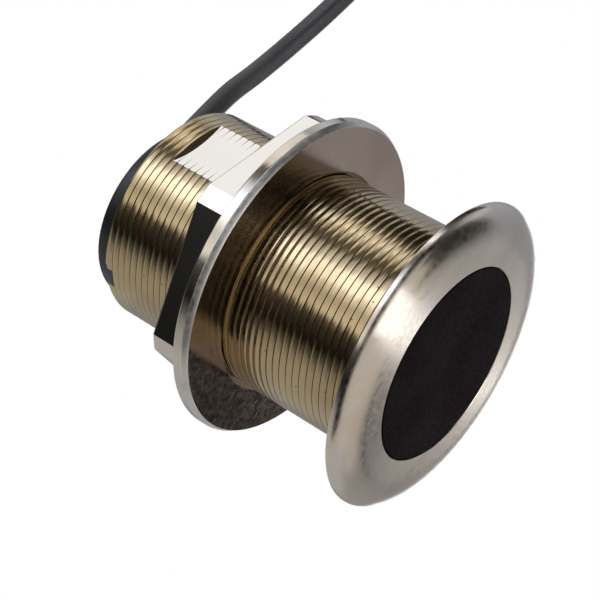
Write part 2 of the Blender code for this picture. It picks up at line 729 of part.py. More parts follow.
def make_ties(parts, cutters):
    """Straps that hold the hank, each a closed band with its locking head on the outer side."""
    inside = (BUNDLE_WIDTH + 2 * GAP, TIE_WIDTH * 2, BUNDLE_HEIGHT + 2 * GAP)
    outside = (inside[0] + 2 * TIE_THICKNESS, TIE_WIDTH, inside[2] + 2 * TIE_THICKNESS)
    middle = COIL_BASE + BUNDLE_HEIGHT / 2
    for number, (shift, degrees) in enumerate(TIE_PLACES, 1):
        middle_x, middle_y = COIL_CENTRE[0] + shift, COIL_CENTRE[1]
        stand = Matrix.Translation((middle_x, middle_y, 0.0)) @ Matrix.Rotation(math.radians(degrees), 4, "Z")
        mesh = bpy.data.meshes.new(f"coil_tie_{number}")
        work = bmesh.new()
        bmesh.ops.create_cube(work, size=1.0, matrix=Matrix.Diagonal((*outside, 1.0)))
        work.to_mesh(mesh)
        work.free()
        tie = place(mesh, mesh.name, black_plastic(mesh.name + "_nylon"), parts)
        tie.matrix_world = stand @ Matrix.Translation((COIL_MEAN_RADIUS, 0.0, middle))
        hole = box(f"tie_hole_{number}", inside, (0.0, 0.0, 0.0), 0.0, cutters)
        hole.matrix_world = tie.matrix_world
        head = box(f"tie_head_{number}", (TIE_HEAD, TIE_WIDTH, TIE_HEAD * 2), (0.0, 0.0, 0.0), 0.0, cutters)
        reach = COIL_MEAN_RADIUS + outside[0] / 2 + TIE_HEAD / 2 - TIE_THICKNESS / 2
        head.matrix_world = stand @ Matrix.Translation((reach, 0.0, middle))
        combine(tie, head, "UNION")
        combine(tie, hole, "DIFFERENCE")


def plug_stand():
    """Where the tail leaves the hank, where it enters the plug lying on the floor, and which way it runs."""
    foot = Vector((COIL_CENTRE[0] + COIL_STRAIGHT / 2, COIL_CENTRE[1] + TAIL_LANE, 0.0))
    along = Vector((1.0, 0.0, 0.0))
    entry = foot + along * PLUG_TO_TAIL
    entry.z = PLUG_COLLAR_DIAMETER / 2
    return foot, entry, along


def tail_points():
    """The cable's last stretch, from beside the hank's lowest turn, rising gently to the plug."""
    foot, entry, along = plug_stand()
    low = COIL_BASE + CABLE_RADIUS
    high = entry.z
    points = []
    for share in (0.0, 0.12, 0.25, 0.38, 0.5, 0.62, 0.75, 0.87, 1.0):
        rise = min(1.0, max(0.0, (share - 0.12) / 0.63))
        point = foot + along * (PLUG_TO_TAIL - GAP) * share
        point.z = low + (high - low) * rise * rise * (3 - 2 * rise)
        points.append(point)
    return points


def make_tail(parts):
    """The stretch of cable between the hank and the plug."""
    route = smooth_route(tail_points(), 2 * CABLE_DIAMETER)
    swept("cable_tail", route, [CABLE_RADIUS] * len(route), black_plastic("tail_jacket"), parts)


def plug_frame():
    """An empty that carries the plug's pieces."""
    _, entry, along = plug_stand()
    frame = bpy.data.objects.new("plug_frame", None)
    bpy.context.scene.collection.objects.link(frame)
    frame.matrix_world = Matrix.Translation(entry) @ along.to_track_quat("Z", "X").to_matrix().to_4x4()
    return frame


def make_plug_boot(frame, parts):
    """The plug's tapered boot, ringed by grooves that let it flex."""
    tip = PLUG_BOOT_TIP_DIAMETER / 2
    root = PLUG_SHELL_DIAMETER / 2 - PLUG_WALL
    side = []
    for i in range(PLUG_BOOT_RINGS):
        for share, sink in ((0.0, 0.0), (0.55, 0.0), (0.6, PLUG_BOOT_GROOVE), (0.95, PLUG_BOOT_GROOVE)):
            part = 1 - (i + share) / PLUG_BOOT_RINGS
            side.append((tip + (root - tip) * part - sink, PLUG_BOOT_LENGTH * part))
    profile = [(0.0, PLUG_BOOT_LENGTH), *side, (tip, 0.0), (0.0, 0.0)]
    boot = turned("plug_boot", profile, black_plastic("boot_rubber"), parts, COARSE)
    boot.parent = frame


def make_plug_shell(frame, parts):
    """The plug's shell: a barrel stepping down to a neck that is hollow at its mouth."""
    low = PLUG_BOOT_LENGTH + GAP
    shoulder = low + PLUG_SHELL_LENGTH
    high = shoulder + PLUG_NECK_LENGTH
    outer, neck = PLUG_SHELL_DIAMETER / 2, PLUG_NECK_DIAMETER / 2
    floor = socket_floor()
    profile = [
        (0.0, floor),
        (neck - PLUG_WALL, floor),
        (neck - PLUG_WALL, high),
        (neck, high),
        (neck, shoulder),
        (outer - PLUG_WALL / 2, shoulder),
        (outer, shoulder - PLUG_WALL / 2),
        (outer, low + PLUG_WALL / 2),
        (outer - PLUG_WALL / 2, low),
        (0.0, low),
    ]
    shell = turned("plug_shell", profile, black_plastic("shell_nylon"), parts, COARSE)
    shell.parent = frame


def make_plug_collar(frame, parts):
    """The locking collar round the neck: a ring with ribs for the fingertips, cut straight through."""
    low = PLUG_BOOT_LENGTH + GAP + PLUG_SHELL_LENGTH + GAP
    crest, groove = PLUG_COLLAR_DIAMETER / 2, PLUG_COLLAR_DIAMETER / 2 - PLUG_COLLAR_RIB_DEPTH
    outline = []
    for rib in range(PLUG_COLLAR_RIBS):
        for share, radius in ((0.0, crest), (0.45, crest), (0.55, groove), (0.9, groove)):
            outline.append(polar(radius, (rib + share) / PLUG_COLLAR_RIBS))
    inner = PLUG_NECK_DIAMETER / 2 + GAP
    hole = [polar(inner, i / COARSE) for i in range(COARSE)]
    curve = extruded("plug_collar", (outline, hole), PLUG_COLLAR_LENGTH / 2)
    collar = place(curve, "plug_collar", black_plastic("collar_nylon"), parts)
    collar.parent = frame
    collar.location.z = low + PLUG_COLLAR_LENGTH / 2


def make_plug_seal(frame, parts):
    """The rubber ring that lies on the insert, just inside the neck."""
    radius = PLUG_SEAL_SECTION / 2
    centre_r = PLUG_NECK_DIAMETER / 2 - PLUG_WALL - GAP - radius
    centre_z = socket_floor() + GAP + PLUG_INSERT_THICKNESS + GAP + radius
    section = arc(centre_r, centre_z, radius, 90, -270, BEND_STEPS)[:-1]
    look = finish("seal_rubber", (0.25, 0.04, 0.03), 0.6)
    seal = turned("plug_seal", section, look, parts, COARSE, ring=True)
    seal.parent = frame


def socket_floor():
    """The height of the floor of the plug's socket above the cable's entry."""
    return PLUG_BOOT_LENGTH + GAP + PLUG_SHELL_LENGTH + PLUG_NECK_LENGTH - PLUG_SOCKET_DEPTH


def make_plug_insert(frame, parts, cutters):
    """The insulating disc that holds the contacts."""
    radius = PLUG_NECK_DIAMETER / 2 - PLUG_WALL - GAP
    low = socket_floor() + GAP
    high = low + PLUG_INSERT_THICKNESS
    profile = [(0.0, high), (radius, high), (radius, low), (0.0, low)]
    look = finish("insert_nylon", (0.09, 0.09, 0.1), 0.5)
    insert = turned("plug_insert", profile, look, parts, COARSE)
    insert.parent = frame
    radius = PIN_DIAMETER / 2 + GAP
    for number in range(PIN_COUNT):
        x, y = pin_place(number)
        start, end = (x, y, low - GAP), (x, y, high + GAP)
        hole = as_cutter(rod_between(f"pin_hole_{number}", start, end, radius, None, cutters, TINY))
        hole.parent = frame
        combine(insert, hole, "DIFFERENCE")


def pin_place(number):
    """The place of one contact in the plug's cross-section."""
    angle = 2 * math.pi * number / PIN_COUNT
    return PIN_RADIUS * math.cos(angle), PIN_RADIUS * math.sin(angle)


def make_pins(frame, parts):
    """The plug's contacts, a ring of round pins with pointed ends."""
    low = socket_floor() + GAP
    radius = PIN_DIAMETER / 2
    for number in range(PIN_COUNT):
        profile = [
            (0.0, low + PIN_LENGTH),
            (radius * 0.5, low + PIN_LENGTH),
            (radius, low + PIN_LENGTH - radius),
            (radius, low),
            (0.0, low),
        ]
        pin = turned(f"contact_pin_{number + 1}", profile, copper(f"contact_{number + 1}"), parts, TINY)
        pin.parent = frame
        pin.location = (*pin_place(number), 0.0)


def shade(parts):
    """Smooth the round surfaces and keep the edges sharp."""
    for thing in parts.objects:
        if thing.type == "MESH":
            thing.data.shade_smooth()
            thing.data.set_sharp_from_angle(angle=SMOOTH_BELOW)


def main():
    """Build every piece."""
    clear_scene()
    parts = new_collection("sonar_transducer")
    cutters = new_collection("cutters")
    make_housing(parts, cutters)
    make_hull_nut(parts, cutters)
    make_window(parts)
    make_element(parts)
    make_sleeve(parts)
    make_backing_pad(parts, cutters)
    make_solder(parts)
    make_cores(parts)
    make_temperature_sensor(parts)
    make_potting(parts, cutters)
    make_rear_cap(parts, cutters)
    make_cable_end(parts)
    make_elbow(parts, cutters)
    make_cable(parts)
    make_coil(parts)
    make_ties(parts, cutters)
    make_tail(parts)
    frame = plug_frame()
    make_plug_boot(frame, parts)
    make_plug_shell(frame, parts)
    make_plug_collar(frame, parts)
    make_plug_seal(frame, parts)
    make_plug_insert(frame, parts, cutters)
    make_pins(frame, parts)
    shade(parts)


main()
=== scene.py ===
"""Looks of the sonar transducer: its thread, castings, cable and finishes, in a plain bright studio.

Every length is in metres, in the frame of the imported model: the stem stands along +Z on its face.
"""

import logging
import math
from contextlib import contextmanager
from dataclasses import dataclass
from enum import Enum
from typing import Iterator, Optional, Sequence

import bmesh
import bpy
import numpy as np
from bmesh.types import BMesh
from bpy.types import ID, Material, Mesh, Node, NodeSocket, NodeTree, Object
from mathutils import Matrix, Vector


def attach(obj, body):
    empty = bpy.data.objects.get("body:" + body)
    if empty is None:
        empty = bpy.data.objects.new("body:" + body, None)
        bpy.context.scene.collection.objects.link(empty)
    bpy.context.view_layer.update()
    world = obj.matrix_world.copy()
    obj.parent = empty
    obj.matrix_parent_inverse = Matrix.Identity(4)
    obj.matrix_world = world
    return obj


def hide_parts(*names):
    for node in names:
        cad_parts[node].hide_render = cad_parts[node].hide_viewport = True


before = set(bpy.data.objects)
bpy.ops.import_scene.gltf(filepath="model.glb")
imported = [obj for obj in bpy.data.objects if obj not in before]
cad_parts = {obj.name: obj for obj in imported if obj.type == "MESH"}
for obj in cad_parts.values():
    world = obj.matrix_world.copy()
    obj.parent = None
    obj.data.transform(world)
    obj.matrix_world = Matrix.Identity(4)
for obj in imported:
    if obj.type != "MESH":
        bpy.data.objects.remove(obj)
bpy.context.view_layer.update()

MM = 0.001
GAP = 0.3 * MM  # clearance between neighbouring pieces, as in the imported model
MERGE = 0.002 * MM  # points of a mesh that lie closer than this become one
log = logging.getLogger("transducer")


class Metal(Enum):
    """The ways in which the bronze is finished, and where its colour carries painted shade."""

    THREAD = "thread"
    FACE = "face"
    NUT = "nut"
    MILLED = "milled"
    SHADE_PAINTED = "shade_painted"
    RIM = "rim"


class Graph:
    """Adds and links nodes of one material or node group in short calls."""

    def __init__(self, tree: NodeTree) -> None:
        """Start on a tree.

        Args:
            tree: The node tree that gets the nodes.
        """
        self.tree = tree

    def add(self, kind: str, inputs: Optional[dict] = None, **settings: object) -> Node:
        """Add a node.

        Args:
            kind: The node's type name, without its "ShaderNode" start if it has one.
            inputs: Values or output sockets for its inputs, by name or number.
            **settings: Properties of the node.

        Returns:
            The new node.
        """
        name = kind if kind.startswith("Node") else "ShaderNode" + kind
        made = self.tree.nodes.new(name)
        for key, value in settings.items():
            setattr(made, key, value)
        self.fill(made, inputs or {})
        return made

    def fill(self, node: Node, inputs: dict) -> None:
        """Set or link several inputs of a node.

        Args:
            node: The node.
            inputs: Values or output sockets, by the input's name or number.
        """
        for key, value in inputs.items():
            self.put(value, node.inputs[key])

    def put(self, value: object, socket: NodeSocket) -> None:
        """Set an input socket to a value, or link an output socket to it.

        Args:
            value: The value or the output socket.
            socket: The input socket.
        """
        if isinstance(value, NodeSocket):
            self.tree.links.new(value, socket)
        else:
            socket.default_value = value

    def math(self, operation: str, *values: object) -> NodeSocket:
        """A Math node's output for up to three values or sockets."""
        return self.add("Math", dict(enumerate(values)), operation=operation).outputs[0]

    def from_axis(self, x: object, y: object) -> NodeSocket:
        """The distance from the Z axis: the root of the sum of the two squares."""
        squares = self.math("ADD", self.math("MULTIPLY", x, x), self.math("MULTIPLY", y, y))
        return self.math("SQRT", squares)

    def span(
        self, value: object, low: float, high: float, out_low: float = 0.0, out_high: float = 1.0
    ) -> NodeSocket:
        """Map a value smoothly from one range to another, held at the ends.

        Args:
            value: The value or its socket.
            low: The first range's start.
            high: The first range's end.
            out_low: The second range's start.
            out_high: The second range's end.

        Returns:
            The output socket.
        """
        made = self.add("MapRange", {0: value, 1: low, 2: high, 3: out_low, 4: out_high})
        made.interpolation_type = "SMOOTHSTEP"
        return made.outputs[0]

    def blend(self, share: object, one: object, two: object) -> NodeSocket:
        """Mix two colours by a share.

        Args:
            share: How much of the second colour, from 0 to 1.
            one: The first colour.
            two: The second colour.

        Returns:
            The output socket.
        """
        return self.add("Mix", {0: share, 6: one, 7: two}, data_type="RGBA").outputs[2]

    def ramp(self, value: object, stops: Sequence[tuple[float, Sequence[float]]]) -> NodeSocket:
        """A colour ramp through the given places and colours.

        Args:
            value: Where on the ramp to read, from 0 to 1.
            stops: Places and their colours, in rising order.

        Returns:
            The output socket.
        """
        made = self.add("ValToRGB", {0: value})
        line = made.color_ramp
        line.interpolation = "EASE"
        while len(line.elements) < len(stops):
            line.elements.new(0.5)
        for spot, (place, colour) in zip(line.elements, stops):
            spot.position = place
            spot.color = (*colour, 1.0)
        return made.outputs[0]


def rgb(colour: Sequence[float]) -> tuple[float, ...]:
    """A colour with its alpha."""
    return (*colour, 1.0)


def new_group(
    name: str, inputs: dict[str, tuple[str, object]], outputs: dict[str, str]
) -> tuple[NodeTree, Graph, Node, Node]:
    """Make an empty shader group with named sockets.

    Args:
        name: The group's name.
        inputs: Socket type and default value by name.
        outputs: Socket type by name.

    Returns:
        The group, its Graph, its input node and its output node.
    """
    group = bpy.data.node_groups.new(name, "ShaderNodeTree")
    for key, (kind, default) in inputs.items():
        socket = group.interface.new_socket(key, in_out="INPUT", socket_type=kind)
        if default is not None:
            socket.default_value = default
    for key, kind in outputs.items():
        group.interface.new_socket(key, in_out="OUTPUT", socket_type=kind)
    graph = Graph(group)
    return group, graph, graph.add("NodeGroupInput"), graph.add("NodeGroupOutput")


class Effects:
    """The shader groups that several finishes share."""

    def __init__(self) -> None:
        """Build each group once."""
        self.grain = self._grain()
        self.pits = self._pits()
        self.turning = self._turning()
        self.ripple = self._ripple()

    @staticmethod
    def _grain() -> NodeTree:
        """Fine uneven grain: two noises of different size, as values round 0.5.

        Returns:
            The group.
        """
        group, graph, start, end = new_group(
            "fine_grain",
            {"Vector": ("NodeSocketVector", None), "Scale": ("NodeSocketFloat", 900.0)},
            {"Value": "NodeSocketFloat", "Broad": "NodeSocketFloat"},
        )
        where, scale = start.outputs["Vector"], start.outputs["Scale"]
        fine = graph.add("TexNoise", {"Vector": where, "Scale": scale, "Detail": 3.0})
        wide = graph.math("MULTIPLY", scale, 0.07)
        broad = graph.add("TexNoise", {"Vector": where, "Scale": wide, "Detail": 2.0})
        graph.put(fine.outputs[0], end.inputs["Value"])
        graph.put(broad.outputs[0], end.inputs["Broad"])
        return group

    @staticmethod
    def _pits() -> NodeTree:
        """Small scattered casting pits, as a mask that is 1 in a pit.

        Returns:
            The group.
        """
        group, graph, start, end = new_group(
            "casting_pits",
            {
                "Vector": ("NodeSocketVector", None),
                "Scale": ("NodeSocketFloat", 420.0),
                "Size": ("NodeSocketFloat", 0.12),
            },
            {"Mask": "NodeSocketFloat"},
        )
        where, scale = start.outputs["Vector"], start.outputs["Scale"]
        cells = graph.add("TexVoronoi", {"Vector": where, "Scale": scale})
        wide = graph.math("MULTIPLY", scale, 0.22)
        patch = graph.add("TexNoise", {"Vector": where, "Scale": wide, "Detail": 1.0})
        near = graph.math("LESS_THAN", cells.outputs["Distance"], start.outputs["Size"])
        some = graph.math("GREATER_THAN", patch.outputs[0], 0.56)
        graph.put(graph.math("MULTIPLY", near, some), end.inputs["Mask"])
        return group

    @staticmethod
    def _turning() -> NodeTree:
        """Lathe marks: a noise that changes only with the distance from the axis and along it.

        Returns:
            The group.
        """
        group, graph, start, end = new_group(
            "turning_marks",
            {"Vector": ("NodeSocketVector", None), "Scale": ("NodeSocketFloat", 2500.0)},
            {"Value": "NodeSocketFloat"},
        )
        x, y, z = graph.add("SeparateXYZ", {0: start.outputs["Vector"]}).outputs
        place = graph.add("CombineXYZ", {0: graph.from_axis(x, y), 1: z}).outputs[0]
        marks = graph.add("TexNoise", {"Vector": place, "Scale": start.outputs["Scale"], "Detail": 2.0})
        graph.put(marks.outputs[0], end.inputs["Value"])
        return group

    @staticmethod
    def _ripple() -> NodeTree:
        """Fine turned lines that each lean a little to one side, as a normal.

        The normal is the surface's own plus the tangent round the axis times the lean, made a unit long. The
        lean comes from a noise that changes thirty times faster along the profile than around it.

        Returns:
            The group.
        """
        group, graph, start, end = new_group(
            "turned_ripple",
            {"Vector": ("NodeSocketVector", None), "Lean": ("NodeSocketFloat", 0.1)},
            {"Normal": "NodeSocketVector"},
        )
        x, y, z = graph.add("SeparateXYZ", {0: start.outputs["Vector"]}).outputs
        line = graph.math("MULTIPLY", graph.math("ADD", z, graph.from_axis(x, y)), 30.0)
        place = graph.add("CombineXYZ", {0: x, 1: y, 2: line})
        noise = graph.add("TexNoise", {"Vector": place.outputs[0], "Scale": 110.0, "Detail": 2.0})
        lean = graph.math("MULTIPLY", graph.math("SUBTRACT", noise.outputs[0], 0.5), start.outputs["Lean"])
        side = graph.add("Tangent", direction_type="RADIAL", axis="Z")
        moved = graph.add("VectorMath", {0: side.outputs[0], "Scale": lean}, operation="SCALE")
        normal = graph.add("NewGeometry").outputs["Normal"]
        total = graph.add("VectorMath", {0: normal, 1: moved.outputs[0]}, operation="ADD")
        unit = graph.add("VectorMath", {0: total.outputs[0]}, operation="NORMALIZE")
        graph.put(unit.outputs[0], end.inputs["Normal"])
        return group


def new_material(name: str) -> tuple[Material, Graph, Node, Node]:
    """Make a material with one Principled shader.

    Args:
        name: The material's name.

    Returns:
        The material, its Graph, its shader and its Texture Coordinate node.
    """
    made = bpy.data.materials.new(name)
    made.use_nodes = True
    graph = Graph(made.node_tree)
    shader = made.node_tree.nodes["Principled BSDF"]
    return made, graph, shader, graph.add("TexCoord")


@dataclass(frozen=True)
class BronzeFinish:
    """Bronze with turning marks, pits, tarnish in its hollows and a stretched gloss."""

    name: str
    colour: tuple[float, float, float]
    tarnish: tuple[float, float, float]
    roughness: float
    stretch: float
    pit_size: float
    relief: float
    lean: float
    patchiness: float = 0.45
    pit_roughness: float = 0.3
    pit_depth: float = 4.0
    bump: float = 0.02 * MM

    def build(self, effects: Effects) -> Material:
        """Make the material.

        Args:
            effects: The shared shader groups.

        Returns:
            The finished material.
        """
        made, graph, shader, place = new_material(self.name)
        where = {"Vector": place.outputs["Object"]}
        grain = graph.add("Group", where, node_tree=effects.grain)
        pits = graph.add("Group", {**where, "Size": self.pit_size}, node_tree=effects.pits)
        marks = graph.add("Group", where, node_tree=effects.turning)
        patchy = graph.span(grain.outputs["Broad"], 0.42, 0.75, 0.0, self.patchiness)
        worn = graph.math("MAXIMUM", patchy, pits.outputs["Mask"])
        rough = graph.span(grain.outputs["Value"], 0.3, 0.7, self.roughness * 0.8, self.roughness * 1.2)
        rough_pits = graph.math("MULTIPLY", pits.outputs["Mask"], self.pit_roughness)
        tangent = graph.add("Tangent", direction_type="RADIAL", axis="Z")
        sunk = graph.math("MULTIPLY", pits.outputs["Mask"], self.pit_depth)
        height = graph.math("SUBTRACT", marks.outputs["Value"], sunk)
        ripple = graph.add("Group", {**where, "Lean": self.lean}, node_tree=effects.ripple)
        relief = {"Strength": self.relief, "Distance": self.bump, "Height": height}
        bump = graph.add("Bump", {**relief, "Normal": ripple.outputs[0]})
        looks = {
            "Base Color": graph.blend(worn, rgb(self.colour), rgb(self.tarnish)),
            "Roughness": graph.math("ADD", rough, rough_pits),
            "Metallic": 1.0,
            "Anisotropic": self.stretch,
            "Anisotropic Rotation": 0.25,
            "Tangent": tangent.outputs[0],
            "Normal": bump.outputs[0],
        }
        graph.fill(shader, looks)
        return made


@dataclass(frozen=True)
class MouldedFinish:
    """Moulded plastic or rubber: a fine grain in its gloss and relief, and slight wear in its colour."""

    name: str
    colour: tuple[float, float, float]
    roughness: float
    specular: float = 0.5
    grain: float = 900.0
    relief: float = 0.1
    metallic: float = 0.0
    wear: float = 1.25
    bump: float = 0.03 * MM

    def build(self, effects: Effects) -> Material:
        """Make the material.

        Args:
            effects: The shared shader groups.

        Returns:
            The finished material.
        """
        made, graph, shader, place = new_material(self.name)
        inputs = {"Vector": place.outputs["Object"], "Scale": self.grain}
        grain = graph.add("Group", inputs, node_tree=effects.grain)
        lighter = tuple(min(1.0, c * self.wear + 0.004) for c in self.colour)
        share = graph.span(grain.outputs["Broad"], 0.35, 0.7)
        rough = graph.span(grain.outputs["Value"], 0.3, 0.7, self.roughness * 0.88, self.roughness * 1.12)
        relief = {"Strength": self.relief, "Distance": self.bump, "Height": grain.outputs["Value"]}
        looks = {
            "Base Color": graph.blend(share, rgb(self.colour), rgb(lighter)),
            "Roughness": rough,
            "Specular IOR Level": self.specular,
            "Metallic": self.metallic,
            "Normal": graph.add("Bump", relief).outputs[0],
        }
        graph.fill(shader, looks)
        return made


class Palette:
    """All the finishes of the object, each built once."""

    BRONZES = {
        Metal.THREAD: BronzeFinish(
            "thread_bronze", (0.58, 0.445, 0.25), (0.30, 0.20, 0.11),
            roughness=0.14, stretch=0.5, pit_size=0.09, relief=0.5, lean=0.12,
        ),
        Metal.FACE: BronzeFinish(
            "face_bronze", (0.80, 0.69, 0.56), (0.62, 0.51, 0.38),
            roughness=0.22, stretch=0.85, pit_size=0.0, relief=0.3, lean=0.0,
        ),
        Metal.NUT: BronzeFinish(
            "nut_bronze", (0.76, 0.68, 0.56), (0.55, 0.46, 0.35),
            roughness=0.14, stretch=0.3, pit_size=0.03, relief=0.2, lean=0.06,
        ),
        Metal.MILLED: BronzeFinish(
            "milled_bronze", (0.88, 0.85, 0.81), (0.80, 0.76, 0.70),
            roughness=0.05, stretch=0.0, pit_size=0.0, relief=0.03, lean=0.0,
        ),
        # The nut's front face: its dark colour is painted shade, for the stem's shadow and dark reflection
        # there; its roughness and stretch are its own finish.
        Metal.SHADE_PAINTED: BronzeFinish(
            "shade_painted_bronze", (0.42, 0.33, 0.26), (0.30, 0.22, 0.16),
            roughness=0.16, stretch=0.4, pit_size=0.0, relief=0.05, lean=0.0,
        ),
        Metal.RIM: BronzeFinish(
            "rim_bronze", (0.92, 0.86, 0.76), (0.50, 0.42, 0.33),
            roughness=0.42, stretch=0.0, pit_size=0.12, relief=0.8, lean=0.0,
        ),
    }
    MOULDED = {
        "window": MouldedFinish("window_black", (0.0035, 0.0012, 0.0015), 0.55, 0.04),
        "cap": MouldedFinish("cap_black", (0.006, 0.006, 0.008), 0.38, 0.45),
        "jacket": MouldedFinish("jacket_black", (0.036, 0.032, 0.034), 0.40, 0.5),
        "rubber": MouldedFinish("rubber_black", (0.012, 0.011, 0.012), 0.55, 0.4, 1400.0, 0.2),
        "nylon": MouldedFinish("nylon_black", (0.014, 0.014, 0.016), 0.45, 0.5, 1800.0, 0.25),
        "tie": MouldedFinish("tie_black", (0.012, 0.012, 0.013), 0.38, 0.5, 1200.0, 0.1),
        "ceramic": MouldedFinish("silvered_ceramic", (0.75, 0.74, 0.70), 0.4, 0.5, 2000.0, 0.2, 0.8),
        "cork": MouldedFinish("cork", (0.40, 0.24, 0.12), 0.9, 0.2, 700.0, 0.8),
        "resin": MouldedFinish("resin", (0.020, 0.020, 0.024), 0.22, 0.5, 500.0, 0.05),
        "tin": MouldedFinish("tin", (0.72, 0.60, 0.40), 0.3, 0.5, 1500.0, 0.1, 1.0),
        "seal": MouldedFinish("seal_red", (0.25, 0.04, 0.03), 0.55, 0.4),
        "core_blue": MouldedFinish("core_blue", (0.03, 0.05, 0.30), 0.4),
        "core_black": MouldedFinish("core_black", (0.02, 0.02, 0.02), 0.4),
        "core_white": MouldedFinish("core_white", (0.70, 0.70, 0.68), 0.4),
        "core_brown": MouldedFinish("core_brown", (0.35, 0.16, 0.05), 0.4),
    }

    def __init__(self) -> None:
        """Build every material."""
        effects = Effects()
        self.bronze = {key: finish.build(effects) for key, finish in self.BRONZES.items()}
        self.moulded = {key: finish.build(effects) for key, finish in self.MOULDED.items()}


def linked(name: str, data: ID) -> Object:
    """Put data into a new object of the scene.

    Args:
        name: The object's name.
        data: A mesh, a camera or a lamp.

    Returns:
        The object, at the origin.
    """
    made = bpy.data.objects.new(name, data)
    bpy.context.scene.collection.objects.link(made)
    return made


@contextmanager
def editing(mesh: Mesh) -> Iterator[BMesh]:
    """Open a mesh with its doubles merged, and write it back afterwards.

    Args:
        mesh: The mesh.

    Yields:
        Its editable form.
    """
    work = bmesh.new()
    work.from_mesh(mesh)
    bmesh.ops.remove_doubles(work, verts=work.verts, dist=MERGE)
    yield work
    work.to_mesh(mesh)
    work.free()


def link_mesh(name: str, points: np.ndarray, faces: Sequence, looks: Sequence[Material]) -> Object:
    """Put points and faces into a mesh object at the origin, with its doubles merged and faces outward.

    Args:
        name: The piece's name.
        points: Corners, one row each.
        faces: The corner numbers of each face, as an array or a list.
        looks: The materials of its slots.

    Returns:
        The object.
    """
    mesh = bpy.data.meshes.new(name)
    mesh.from_pydata(points.tolist(), [], faces if isinstance(faces, list) else faces.tolist())
    with editing(mesh) as work:
        bmesh.ops.recalc_face_normals(work, faces=work.faces)
    for look in looks:
        mesh.materials.append(look)
    return linked(name, mesh)


def grid_faces(rows: int, columns: int, close_rows: bool, close_columns: bool) -> np.ndarray:
    """Corner numbers of the quads of a grid whose points are numbered row by row.

    Args:
        rows: Rows of points.
        columns: Points in a row.
        close_rows: Whether the last row joins the first.
        close_columns: Whether each row closes on itself.

    Returns:
        An array of four corner numbers for each quad.
    """
    row = np.arange(rows if close_rows else rows - 1)[:, None]
    column = np.arange(columns if close_columns else columns - 1)[None, :]
    here, below = row * columns, (row + 1) % rows * columns
    beside = (column + 1) % columns
    quads = np.broadcast_arrays(here + column, here + beside, below + beside, below + column)
    return np.stack(quads, axis=-1).reshape(-1, 4)


def round_angles(count: int) -> np.ndarray:
    """Evenly spaced angles for one turn, in radians."""
    return np.arange(count) * 2 * np.pi / count


def turned_points(radius: np.ndarray, angle: np.ndarray, height: np.ndarray) -> np.ndarray:
    """Points about the stem's axis.

    Args:
        radius: How far each lies from the axis.
        angle: Its angle about the axis, in radians.
        height: Its height.

    Returns:
        One row for each point.
    """
    parts = np.broadcast_arrays(radius * np.cos(angle), radius * np.sin(angle), height)
    return np.stack(parts, axis=-1).reshape(-1, 3)


def polygon_values(mesh: Mesh, name: str) -> np.ndarray:
    """A vector that every polygon of a mesh has.

    Args:
        mesh: The mesh.
        name: The vector's name, such as "normal".

    Returns:
        One row for each polygon.
    """
    values = np.empty(len(mesh.polygons) * 3)
    mesh.polygons.foreach_get(name, values)
    return values.reshape(-1, 3)


def smooth(piece: Object, degrees: float = 35.0) -> Object:
    """Shade a piece smoothly, but keep its sharper edges.

    Args:
        piece: The piece.
        degrees: Edges that turn more than this stay sharp.

    Returns:
        The same piece.
    """
    piece.data.shade_smooth()
    piece.data.set_sharp_from_angle(angle=math.radians(degrees))
    return piece


def block(name: str, size: Sequence[float], centre: Sequence[float], angle: float) -> Object:
    """A cutting block turned about the stem's axis.

    Args:
        name: Its name.
        size: Its three sides before the turn.
        centre: Its middle before the turn.
        angle: The turn, in radians.

    Returns:
        The block.
    """
    half = (-0.5, 0.5)
    corners = np.array([[x, y, z] for x in half for y in half for z in half]) * size + centre
    cos, sin = math.cos(angle), math.sin(angle)
    turn = np.array([[cos, sin, 0], [-sin, cos, 0], [0, 0, 1]])
    faces = np.array([[0, 1, 3, 2], [4, 6, 7, 5], [0, 4, 5, 1], [2, 3, 7, 6], [0, 2, 6, 4], [1, 5, 7, 3]])
    return link_mesh(name, corners @ turn, faces, ())


def cut(piece: Object, tools: Sequence[Object]) -> None:
    """Cut blocks out of a piece and delete them.

    Args:
        piece: The piece, which gets the cut mesh.
        tools: The blocks.
    """
    for tool in tools:
        step = piece.modifiers.new(tool.name, "BOOLEAN")
        step.solver = "EXACT"
        step.object = tool
    seen = piece.evaluated_get(bpy.context.evaluated_depsgraph_get())
    mesh = bpy.data.meshes.new_from_object(seen)
    piece.modifiers.clear()
    piece.data = mesh
    for tool in tools:
        bpy.data.objects.remove(tool)


def round_corner(points: Sequence[tuple[float, float]], radius: float, steps: int = 3) -> list[tuple]:
    """Round the middle one of three profile points with a small curve.

    Args:
        points: The point before, the corner and the point after.
        radius: How far from the corner the curve starts.
        steps: How many chords it has.

    Returns:
        The points of the curve: a quadratic one with the corner as its handle.
    """
    before, corner, after = (np.array(p) for p in points)
    start = corner + (before - corner) / np.linalg.norm(before - corner) * radius
    end = corner + (after - corner) / np.linalg.norm(after - corner) * radius
    share = np.linspace(0.0, 1.0, steps + 1)[:, None]
    curve = (1 - share) ** 2 * start + 2 * share * (1 - share) * corner + share**2 * end
    return [tuple(p) for p in curve]


